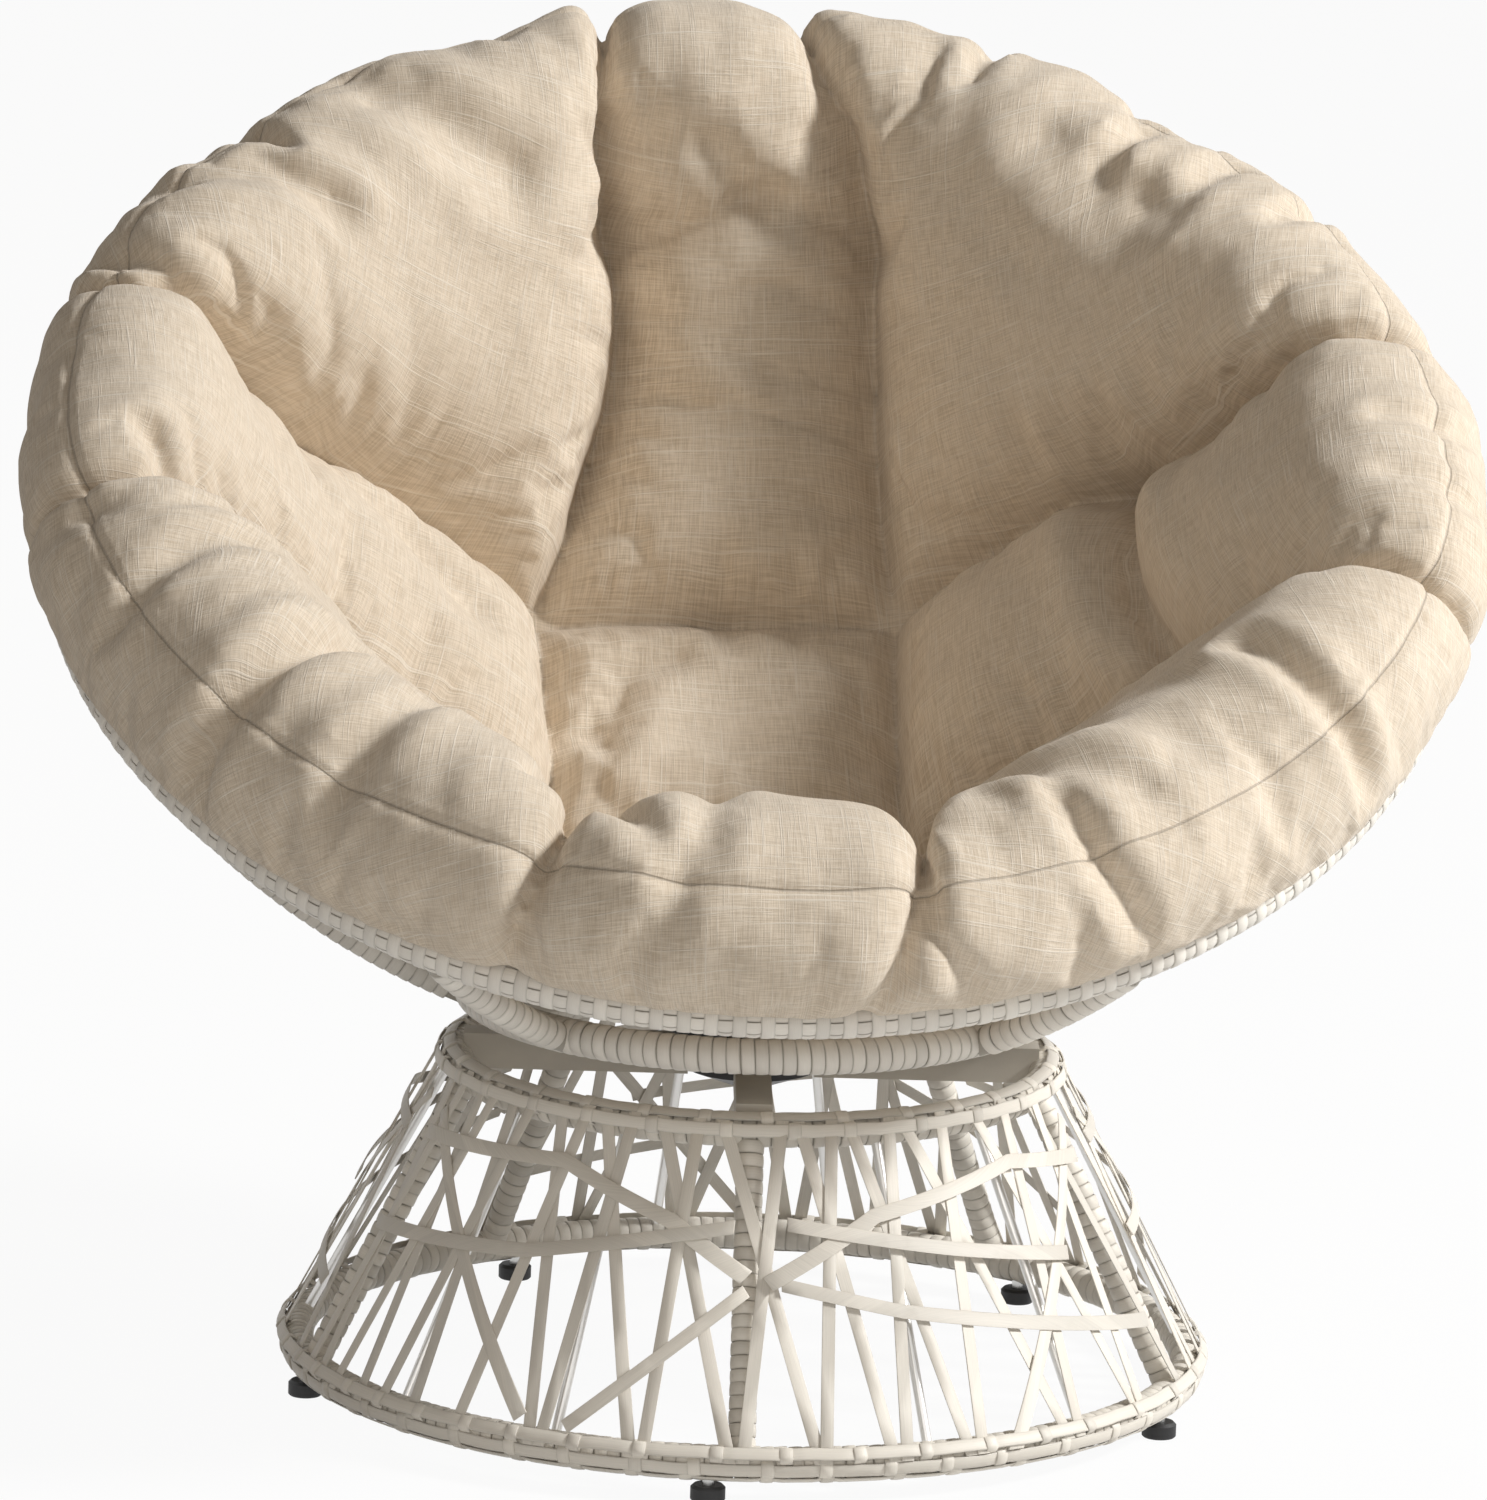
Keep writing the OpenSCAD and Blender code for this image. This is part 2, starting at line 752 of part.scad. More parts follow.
module bowl_weave_bands()
    color("linen") {
        for (b = bowl_bands)
            bowl_strand(heading(b[0], b[1]), heading(b[2], b[3]), 2);
        for (b = bowl_counter_bands)
            bowl_strand(heading(b[0], b[1]), heading(b[2], b[3]), 3);
    }

// ---- Cushion ----

module cushion()
    color("burlywood")
        difference() {
            in_rim_frame()
                rotate_extrude($fn = hoop_fn)
                    cushion_section();
            translate([-too_big / 2, -too_big / 2, cushion_floor_z - too_big])
                cube([too_big, too_big, too_big]);
        }

module cushion_roll()
    translate([roll_circle_r, roll_z])
        circle(r = roll_r);

module cushion_section() {
    // The pad, up to the line from the sphere's centre through the middle of the roll
    intersection() {
        difference() {
            circle(r = cushion_out_r);
            circle(r = cushion_in_r);
        }
        polygon([[0, 0], [2 * roll_circle_r, 2 * roll_z], [0, 2 * roll_z - too_big]]);
    }
    // The roll, inside the bowl and above the rim
    intersection() {
        cushion_roll();
        circle(r = cushion_out_r);
    }
    intersection() {
        cushion_roll();
        translate([0, rim_wrap_r + clear_gap - rim_height])
            square([too_big, too_big]);
    }
}

floor_hoop();
floor_hoop_wrap();
floor_hoop_runners();
neck_hoop();
neck_hoop_wrap();
neck_hoop_runners();
base_posts();
base_post_wraps();
base_rods();
base_cross_arms();
hub_housing();
weave_right_lean();
weave_left_lean();
weave_diagonals();
weave_bands();
rubber_feet();
foot_studs();
lower_bush();
upper_bush();
lower_race();
ball_cage();
thrust_balls();
upper_race();
spindle();
spindle_washer();
spindle_nut();
swivel_plate();
plate_bolts();
plate_nuts();
bowl_cross_bars();
seat_hoop();
seat_hoop_wrap();
bowl_ribs();
rib_wraps();
rim_hoop();
rim_hoop_wrap();
bowl_weave_right_lean();
bowl_weave_left_lean();
bowl_weave_bands();
cushion();
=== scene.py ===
"""Looks of a swivel papasan chair: a wound wicker bowl, a tufted linen cushion and an open woven drum base.

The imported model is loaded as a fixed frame. The wound hoops, ribs and posts, the runners woven round the base and
the cushion are built here, in metres, where the frame says. Everything else keeps its own mesh and gets a finish.
"""

from __future__ import annotations

import json
import logging
import math
import random
from dataclasses import dataclass, field
from enum import Enum
from typing import Sequence

import bmesh
import bpy
import numpy as np
from mathutils import Matrix, Vector
from mathutils.kdtree import KDTree

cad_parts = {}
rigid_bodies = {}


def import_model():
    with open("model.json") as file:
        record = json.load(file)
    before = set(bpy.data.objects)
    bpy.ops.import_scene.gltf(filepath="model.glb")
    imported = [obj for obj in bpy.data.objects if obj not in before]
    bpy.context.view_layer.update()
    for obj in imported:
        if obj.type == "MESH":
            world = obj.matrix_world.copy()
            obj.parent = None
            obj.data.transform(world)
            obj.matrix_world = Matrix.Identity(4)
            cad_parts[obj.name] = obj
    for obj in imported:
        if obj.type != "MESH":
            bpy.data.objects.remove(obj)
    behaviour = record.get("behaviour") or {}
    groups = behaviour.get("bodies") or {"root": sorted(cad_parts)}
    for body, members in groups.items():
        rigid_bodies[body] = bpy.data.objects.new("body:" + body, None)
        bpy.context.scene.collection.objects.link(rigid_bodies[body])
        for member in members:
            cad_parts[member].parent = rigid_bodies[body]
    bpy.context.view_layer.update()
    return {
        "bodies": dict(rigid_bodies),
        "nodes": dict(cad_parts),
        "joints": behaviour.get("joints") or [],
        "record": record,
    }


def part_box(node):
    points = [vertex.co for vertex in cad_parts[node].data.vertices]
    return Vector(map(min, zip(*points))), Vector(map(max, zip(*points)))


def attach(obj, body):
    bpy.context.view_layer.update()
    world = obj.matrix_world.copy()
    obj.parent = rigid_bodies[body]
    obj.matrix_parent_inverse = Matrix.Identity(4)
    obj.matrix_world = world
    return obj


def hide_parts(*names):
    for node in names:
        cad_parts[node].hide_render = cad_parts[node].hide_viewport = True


log = logging.getLogger("papasan")
Colour = tuple[float, float, float]
TINT = "tint"
STRIP_UV = "strip"
CLOTH_UV = "cloth"
SEAM = "seam"
STRIP_CREASE = 65.0
STRAND_EASE = 0.00022


class Body(Enum):
    """The moving bodies of the chair."""

    BASE = "base"
    BOWL = "bowl"


class Slot(Enum):
    """Material slots of the record for the wicker and the linen."""

    WICKER = "wicker"
    LINEN = "linen"


# Small helpers
# ====================


class NodeBoard:
    """Short hand for placing and wiring nodes in one tree."""

    def __init__(self, tree: bpy.types.NodeTree) -> None:
        """Starts on an empty tree.

        Args:
            tree: the node tree to fill.
        """
        self.tree = tree
        tree.nodes.clear()

    def add(self, kind: str, inputs: dict[str | int, object] | None = None, **settings: object) -> bpy.types.Node:
        """Adds a node.

        Args:
            kind: the node's type name.
            inputs: values or output sockets for its inputs, by name or number.
            settings: properties of the node.

        Returns:
            The new node.
        """
        node = self.tree.nodes.new(kind)
        for key, value in settings.items():
            setattr(node, key, value)
        for key, value in (inputs or {}).items():
            if isinstance(value, bpy.types.NodeSocket):
                self.tree.links.new(value, node.inputs[key])
            else:
                node.inputs[key].default_value = value
        return node

    def math(self, operation: str, *values: object, clamp: bool = False) -> bpy.types.NodeSocket:
        """Adds a Math node for shaders or geometry.

        Args:
            operation: the operation's name.
            values: its inputs in order, numbers or sockets.
            clamp: whether the result stays within 0 and 1.

        Returns:
            The result's socket.
        """
        node = self.add("ShaderNodeMath", dict(enumerate(values)), operation=operation, use_clamp=clamp)
        return node.outputs[0]

    def noise(self, place: object, scale: float, detail: float, roughness: float = 0.5) -> bpy.types.NodeSocket:
        """Adds a Noise Texture.

        Args:
            place: the coordinates' socket.
            scale: its scale.
            detail: its detail.
            roughness: its roughness.

        Returns:
            The noise's socket.
        """
        given = {"Vector": place, "Scale": scale, "Detail": detail, "Roughness": roughness}
        return self.add("ShaderNodeTexNoise", given).outputs["Fac"]

    def surface(self, inputs: dict[str | int, object]) -> None:
        """Ends a material with a Principled shader that has the given inputs."""
        shader = self.add("ShaderNodeBsdfPrincipled", inputs)
        self.add("ShaderNodeOutputMaterial", {"Surface": shader.outputs[0]})

    def mix_colour(self, factor: object, first: object, second: object, blend: str = "MIX") -> bpy.types.NodeSocket:
        """Mixes two colours.

        Args:
            factor: how much of the second, a number or a socket.
            first: the first colour, four numbers or a socket.
            second: the second colour.
            blend: the blend type.

        Returns:
            The mixed colour's socket.
        """
        node = self.add("ShaderNodeMix", {0: factor, 6: first, 7: second}, data_type="RGBA", blend_type=blend)
        return node.outputs[2]


def rgba(colour: Colour, gain: float = 1.0) -> tuple[float, float, float, float]:
    """Gives a colour with alpha, made lighter or darker by gain."""
    return tuple(min(1.0, c * gain) for c in colour) + (1.0,)


def mesh_object(name: str, verts: Sequence, faces: Sequence, edges: Sequence = ()) -> bpy.types.Object:
    """Makes an object from vertices and faces.

    Args:
        name: the object's name.
        verts: points in metres.
        faces: vertex numbers of each face.
        edges: loose edges, for paths.

    Returns:
        The object, linked to the scene, at the origin.
    """
    mesh = bpy.data.meshes.new(name)
    mesh.from_pydata([tuple(v) for v in verts], list(edges), list(faces))
    mesh.update()
    obj = bpy.data.objects.new(name, mesh)
    bpy.context.scene.collection.objects.link(obj)
    return obj


def read_mesh(items: bpy.types.bpy_prop_collection, field_name: str = "co") -> np.ndarray:
    """Reads a vector of each vertex of a mesh.

    Args:
        items: the mesh's vertices.
        field_name: what to read, their place or their normal.

    Returns:
        One row for each vertex.
    """
    rows = np.empty(len(items) * 3)
    items.foreach_get(field_name, rows)
    return rows.reshape(-1, 3)


def corner_vertices(mesh: bpy.types.Mesh) -> np.ndarray:
    """Lists which vertex each face corner is on.

    Args:
        mesh: the mesh.

    Returns:
        The vertex number of each face corner in order.
    """
    corners = np.empty(len(mesh.loops), dtype=np.int32)
    mesh.loops.foreach_get("vertex_index", corners)
    return corners


def write_uv(mesh: bpy.types.Mesh, name: str, uvs: np.ndarray | Sequence[tuple[float, float]]) -> None:
    """Writes a UV map, one row for each face corner in order."""
    mesh.uv_layers.new(name=name).data.foreach_set("uv", np.array(uvs, dtype=np.float32).ravel())


def write_value(mesh: bpy.types.Mesh, name: str, values: np.ndarray | Sequence[float]) -> None:
    """Writes a number for each vertex, which materials read by name."""
    mesh.attributes.new(name, "FLOAT", "POINT").data.foreach_set("value", np.array(values, dtype=np.float32))


def face_outwards(mesh: bpy.types.Mesh) -> None:
    """Turns a closed mesh's faces outwards.

    Args:
        mesh: the mesh.
    """
    shape = bmesh.new()
    shape.from_mesh(mesh)
    bmesh.ops.recalc_face_normals(shape, faces=shape.faces)
    shape.to_mesh(mesh)
    shape.free()
    mesh.update()


def strip_object(
    name: str, verts: Sequence, faces: Sequence, uvs: Sequence, sharp_degrees: float
) -> bpy.types.Object:
    """Makes a closed strip of resin with its grain coordinates.

    Args:
        name: the object's name.
        verts: points in metres.
        faces: vertex numbers of each face.
        uvs: grain coordinates of each face corner, in metres along and across.
        sharp_degrees: edges bent by more than this stay crisp.

    Returns:
        The strip.
    """
    strip = mesh_object(name, verts, faces)
    write_uv(strip.data, STRIP_UV, uvs)
    face_outwards(strip.data)
    shade_smooth(strip.data, sharp_degrees)
    return strip


def discard(*objects: bpy.types.Object) -> None:
    """Removes helper objects and the meshes that nothing else uses.

    Args:
        objects: the helper objects.
    """
    for obj in objects:
        mesh = obj.data
        bpy.data.objects.remove(obj)
        if mesh.users == 0:
            bpy.data.meshes.remove(mesh)


def plain_copy(obj: bpy.types.Object, name: str) -> bpy.types.Object:
    """Turns an object's evaluated shape into a plain mesh and removes the object with its modifiers.

    Args:
        obj: the object that carries the modifiers.
        name: the plain piece's name.

    Returns:
        The plain piece.
    """
    bpy.context.view_layer.update()
    graph = bpy.context.evaluated_depsgraph_get()
    mesh = bpy.data.meshes.new_from_object(obj.evaluated_get(graph), preserve_all_data_layers=True, depsgraph=graph)
    discard(obj)
    mesh.name = name
    piece = bpy.data.objects.new(name, mesh)
    bpy.context.scene.collection.objects.link(piece)
    return piece


def shade_smooth(mesh: bpy.types.Mesh, sharp_degrees: float = 180.0) -> None:
    """Shades a mesh smoothly, with edges sharper than an angle left crisp.

    Args:
        mesh: the mesh.
        sharp_degrees: edges bent by more than this stay sharp.
    """
    mesh.polygons.foreach_set("use_smooth", [True] * len(mesh.polygons))
    if sharp_degrees < 180.0:
        mesh.set_sharp_from_angle(angle=math.radians(sharp_degrees))
    mesh.update()


def report(piece: bpy.types.Object, body: Body) -> None:
    """Logs one finished piece."""
    log.info("%-26s %-6s %7d faces", piece.name, body.value, len(piece.data.polygons))


# Finishes
# ====================


def new_material(name: str) -> tuple[bpy.types.Material, NodeBoard]:
    """Makes an empty material.

    Args:
        name: the material's name.

    Returns:
        The material, and the board to fill it on.
    """
    mat = bpy.data.materials.new(name)
    mat.use_nodes = True
    return mat, NodeBoard(mat.node_tree)


@dataclass(frozen=True)
class Wicker:
    """Extruded resin strip: matt, faintly ribbed along its length, a little worn, and darker at its edges with dirt
    and painted shade where the turns meet.
    """

    name: str
    colour: Colour = (0.80, 0.762, 0.69)
    tint_spread: float = 0.16
    # how far the edges darken: dirt, and painted shade for the shade where turns meet
    edge_dirt_and_shade: float = 0.35
    roughness: float = 0.5
    rib_depth: float = 0.00012
    blotch_colour: Colour = (0.66, 0.55, 0.47)

    def material(self) -> bpy.types.Material:
        """Builds the material.

        Returns:
            The material.
        """
        mat, board = new_material(self.name)
        place = board.add("ShaderNodeTexCoord").outputs["Object"]
        cloud = board.noise(place, 14.0, 3.0)
        uv = board.add("ShaderNodeUVMap", uv_map=STRIP_UV).outputs["UV"]
        tint = board.add("ShaderNodeAttribute", attribute_name=TINT).outputs["Fac"]
        across = board.math("ABSOLUTE", board.add("ShaderNodeSeparateXYZ", {"Vector": uv}).outputs["Y"])
        # Painted shade with dirt: the outer millimetre of each edge darkens, for the dirt and the shade where turns
        # and strands meet.
        edge_dirt_and_shade_mask = board.math("MULTIPLY_ADD", across, 900.0, -3.1, clamp=True)
        drawn = board.add("ShaderNodeMapping", {"Vector": uv, "Scale": (25.0, 2600.0, 1.0)}).outputs[0]
        grain = board.noise(drawn, 1.0, 3.0, 0.6)
        spread = self.tint_spread
        shade = board.mix_colour(tint, rgba(self.colour, 1.0 - spread), rgba(self.colour, 1.0 + spread * 0.6))
        warm = board.mix_colour(0.16, shade, rgba(self.blotch_colour))
        blotch = board.mix_colour(board.math("MULTIPLY_ADD", cloud, 2.2, -0.75, clamp=True), shade, warm)
        streak = board.math("MULTIPLY_ADD", grain, 0.34, 0.83)
        grey = board.add("ShaderNodeCombineColor", {0: streak, 1: streak, 2: streak}).outputs[0]
        streaked = board.mix_colour(1.0, blotch, grey, "MULTIPLY")
        # Mixes the edges towards a darker colour: dirt and painted shade.
        dirtied_and_shaded = board.mix_colour(board.math("MULTIPLY", edge_dirt_and_shade_mask, self.edge_dirt_and_shade), streaked, rgba(self.colour, 0.42))
        rough = board.math("MULTIPLY_ADD", grain, 0.22, self.roughness - 0.11)
        bump = board.add("ShaderNodeBump", {"Height": grain, "Distance": self.rib_depth, "Strength": 0.55})
        normal = bump.outputs[0]
        board.surface({"Base Color": dirtied_and_shaded, "Roughness": rough, "Normal": normal, "Specular IOR Level": 0.42})
        return mat


@dataclass(frozen=True)
class Linen:
    """Loose slub linen: threads both ways, thick light slubs, soft nap, and a line of painted shade along the seam.
    """

    name: str
    colour: Colour = (0.70, 0.61, 0.50)
    pale: Colour = (0.88, 0.82, 0.73)
    thread: float = 0.00095

    @staticmethod
    def _threads(
        board: NodeBoard,
        uv: bpy.types.NodeSocket,
        length: float,
        width: float,
        turn: float,
        seed: float,
        detail: float,
    ) -> bpy.types.NodeSocket:
        """Makes streaks that run one way along the cloth.

        Args:
            board: the material's board.
            uv: the cloth's coordinates in metres.
            length: how long a streak is, in metres.
            width: how wide it is, in metres.
            turn: which way it runs, in radians.
            seed: shifts the pattern, so that no two are alike.
            detail: how ragged the streaks are.

        Returns:
            The streaks' strength.
        """
        turned = board.add("ShaderNodeMapping", {"Vector": uv, "Rotation": (0.0, 0.0, turn)}).outputs[0]
        drawn = board.add(
            "ShaderNodeMapping",
            {"Vector": turned, "Location": (seed, seed * 1.7, seed * 0.3), "Scale": (1.0 / length, 1.0 / width, 1.0)},
        ).outputs[0]
        return board.noise(drawn, 1.0, detail, 0.55)

    def material(self) -> bpy.types.Material:
        """Builds the material.

        Returns:
            The material.
        """
        mat, board = new_material(self.name)
        uv = board.add("ShaderNodeUVMap", uv_map=CLOTH_UV).outputs["UV"]
        place = board.add("ShaderNodeTexCoord").outputs["Object"]
        half = math.pi / 2
        warp = self._threads(board, uv, 0.024, self.thread, 0.02, 3.1, 2.0)
        weft = self._threads(board, uv, 0.018, self.thread, half + 0.01, 7.4, 2.0)
        warp_slub = self._threads(board, uv, 0.110, self.thread * 1.15, 0.0, 11.9, 0.3)
        weft_slub = self._threads(board, uv, 0.090, self.thread * 1.15, half, 17.3, 0.3)
        short_warp = self._threads(board, uv, 0.020, self.thread, 0.01, 23.7, 0.0)
        short_weft = self._threads(board, uv, 0.018, self.thread, half, 29.1, 0.0)
        broad = board.noise(place, 7.0, 3.0)
        weave = board.math("ADD", warp, weft)
        tone = board.math("MULTIPLY_ADD", weave, 2.3, -1.8, clamp=True)
        long_both = board.math("MAXIMUM", warp_slub, weft_slub)
        short_both = board.math("MAXIMUM", short_warp, short_weft)
        long_slub = board.math("MULTIPLY_ADD", long_both, 11.0, -7.2, clamp=True)
        short_slub = board.math("MULTIPLY_ADD", short_both, 8.0, -5.3, clamp=True)
        slub = board.math("MAXIMUM", long_slub, board.math("MULTIPLY", short_slub, 0.6))
        dark = tuple(c * k for c, k in zip(self.colour, (0.80, 0.76, 0.70)))
        ground = board.mix_colour(tone, rgba(dark), rgba(self.colour, 1.13))
        patches = board.math("MULTIPLY_ADD", broad, 0.9, -0.3, clamp=True)
        worn = board.mix_colour(patches, ground, rgba(self.colour, 1.05))
        slubbed = board.mix_colour(board.math("MULTIPLY", slub, 0.5), worn, rgba(self.pale))
        # Painted shade: within about a millimetre of the seam the cloth darkens, for the shade in the seam's groove;
        # the same mask also sinks the groove in the bump.
        off = board.math("ABSOLUTE", board.add("ShaderNodeAttribute", attribute_name=SEAM).outputs["Fac"])
        stitched = board.math("MULTIPLY_ADD", off, -1100.0, 1.25, clamp=True)
        cloth = board.mix_colour(board.math("MULTIPLY", stitched, 0.42), slubbed, rgba(self.colour, 0.38))
        threads = board.math("ADD", board.math("MULTIPLY", weave, 0.5), board.math("MULTIPLY", slub, 0.55))
        height = board.math("SUBTRACT", threads, board.math("MULTIPLY", stitched, 2.0))
        bump = board.add("ShaderNodeBump", {"Height": height, "Distance": 0.0006, "Strength": 0.7})
        nap = {"Roughness": 0.92, "Sheen Weight": 0.18, "Sheen Roughness": 0.6, "Specular IOR Level": 0.18}
        board.surface({"Base Color": cloth, "Normal": bump.outputs[0], **nap})
        return mat


@dataclass(frozen=True)
class Coating:
    """A hard finish: paint, bare metal, nylon or rubber."""

    name: str
    colour: Colour
    metallic: float = 0.0
    roughness: float = 0.45
    mottle: float = 0.12
    mottle_scale: float = 60.0
    peel: float = 0.00005
    stretch: tuple[float, float, float] = (1.0, 1.0, 1.0)

    def material(self) -> bpy.types.Material:
        """Builds the material.

        Returns:
            The material.
        """
        mat, board = new_material(self.name)
        place = board.add("ShaderNodeTexCoord").outputs["Object"]
        drawn = board.add("ShaderNodeMapping", {"Vector": place, "Scale": self.stretch}).outputs[0]
        fine = board.noise(drawn, self.mottle_scale * 9, 3.0)
        broad = board.noise(drawn, self.mottle_scale, 4.0)
        shade = board.mix_colour(broad, rgba(self.colour, 1.0 - self.mottle), rgba(self.colour, 1.0 + self.mottle))
        wear = board.math("MULTIPLY_ADD", fine, 5.0, -3.3, clamp=True)
        worn = board.mix_colour(board.math("MULTIPLY", wear, self.mottle), shade, rgba(self.colour, 1.6))
        rough = board.math("MULTIPLY_ADD", broad, 0.24, self.roughness - 0.12, clamp=True)
        bump = board.add("ShaderNodeBump", {"Height": fine, "Distance": self.peel, "Strength": 0.5})
        board.surface({"Base Color": worn, "Metallic": self.metallic, "Roughness": rough, "Normal": bump.outputs[0]})
        return mat


class Finishes:
    """Every material of the chair, built once."""

    def __init__(self) -> None:
        """Builds the finishes that several pieces share."""
        self.wound = Wicker("wound wicker").material()
        self.rim = Wicker("rim wicker", (0.85, 0.82, 0.76), tint_spread=0.10).material()
        self.strand = Wicker("strand wicker", (0.78, 0.742, 0.672), tint_spread=0.12, edge_dirt_and_shade=0.15).material()
        self.linen = Linen("slub linen").material()
        coatings = {
            # The bars under the wound hoops: steel, made darker than the arms' taupe so that the gaps between turns
            # look shaded; partly painted shade.
            "hoop_steel": Coating("hoop steel darkened for gap shade", (0.42, 0.39, 0.34), roughness=0.6),
            "rod_steel": Coating("galvanised rod", (0.84, 0.83, 0.81), 0.6, roughness=0.34, mottle_scale=30.0),
            "arm_steel": Coating("taupe paint", (0.58, 0.54, 0.475), roughness=0.62, mottle=0.08, peel=0.00012),
            "hub_black": Coating("black paint", (0.014, 0.014, 0.015), roughness=0.38, mottle=0.3),
            "foot_rubber": Coating("black rubber", (0.016, 0.016, 0.017), roughness=0.6, mottle=0.35, peel=0.0002),
            "zinc_steel": Coating("zinc plate", (0.60, 0.60, 0.585), metallic=1.0, roughness=0.33, mottle=0.18),
            "nylon": Coating("white nylon", (0.74, 0.72, 0.66), roughness=0.4, mottle=0.05),
            "bearing_steel": Coating("ground steel", (0.66, 0.66, 0.66), metallic=1.0, roughness=0.16, mottle=0.08),
            "cage_brass": Coating("pressed brass", (0.66, 0.49, 0.20), metallic=1.0, roughness=0.3, mottle=0.15),
        }
        self.hard = {slot: coating.material() for slot, coating in coatings.items()}


# Winding: one turn of strip after another along a path
# ====================


@dataclass(frozen=True)
class Strip:
    """Section of the flat resin strip."""

    width: float = 0.0091
    thickness: float = 0.0012
    crown: float = 0.00025
    chamfer: float = 0.0006

    def section(self, radius: float) -> list[tuple[float, float]]:
        """Gives the closed section of a turn.

        Args:
            radius: how far its crown lies from the middle of the bar.

        Returns:
            Points of (distance from the bar's middle, place along the bar), counter-clockwise.
        """
        half, inner = self.width / 2, radius - self.thickness
        rise = self.crown
        return [
            (inner, -half),
            (radius - rise - self.chamfer * 0.8, -half),
            (radius - rise, -half + self.chamfer),
            (radius, 0.0),
            (radius - rise, half - self.chamfer),
            (radius - rise - self.chamfer * 0.8, half),
            (inner, half),
        ]


def swept_faces(section: Sequence[tuple[float, float]], sections: int, gap: float, closed: bool) -> tuple[list, list]:
    """Gives the faces and grain coordinates of a section carried along a path.

    Args:
        section: the section's points; the second number of each is its place across the strip.
        sections: how many sections the path has.
        gap: how far apart they are, in metres.
        closed: whether the last meets the first.

    Returns:
        The faces, and a place along and across the strip for each of their corners.
    """
    count = len(section)
    faces, uvs = [], []
    for i in range(sections if closed else sections - 1):
        here, there = i * count, (i + 1) % sections * count
        u0, u1 = gap * i, gap * (i + 1)
        for k in range(count):
            n = (k + 1) % count
            faces.append((here + k, there + k, there + n, here + n))
            v0, v1 = section[k][1], section[n][1]
            uvs += [(u0, v0), (u1, v0), (u1, v1), (u0, v1)]
    return faces, uvs


def ring_turn(name: str, strip: Strip, radius: float, around: int = 22) -> bpy.types.Object:
    """Makes one closed turn of strip round the Z axis.

    Args:
        name: the turn's name.
        strip: the strip's section.
        radius: how far the crown lies from the axis.
        around: number of steps round.

    Returns:
        The turn, with grain coordinates in metres.
    """
    section = strip.section(radius)
    turns = [math.tau * i / around for i in range(around)]
    verts = [(r * math.cos(turn), r * math.sin(turn), z) for turn in turns for r, z in section]
    faces, uvs = swept_faces(section, around, math.tau * radius / around, closed=True)
    return strip_object(name, verts, faces, uvs, STRIP_CREASE)


def saddle_turn(name: str, strip: Strip, tube: float, top: float, lean: float, reach: float) -> bpy.types.Object:
    """Makes the short arch of a turn that climbs over a runner.

    Args:
        name: the arch's name.
        strip: the strip's section.
        tube: radius of the turns it rises from.
        top: how far its crown lies from the bar's middle.
        lean: where round the bar its middle is, in radians.
        reach: how far it reaches to each side, in radians.

    Returns:
        The arch, closed at both ends.
    """
    steps, sunk = 8, 0.0004
    verts = []
    section = strip.section(1.0)
    count = len(section)
    for i in range(steps + 1):
        t = 2 * i / steps - 1
        rise = 0.5 + 0.5 * math.cos(math.pi * min(1.0, max(0.0, (abs(t) - 0.42) / 0.58)))
        radius = tube - sunk + (top - tube + sunk) * rise
        turn = lean + reach * t
        verts += [(r * math.cos(turn), r * math.sin(turn), z) for r, z in strip.section(radius)]
    faces, uvs = swept_faces(section, steps + 1, 0.002, closed=False)
    faces += [tuple(range(count)), tuple(steps * count + k for k in reversed(range(count)))]
    uvs += [(0.0, 0.0)] * (2 * count)
    return strip_object(name, verts, faces, uvs, STRIP_CREASE)


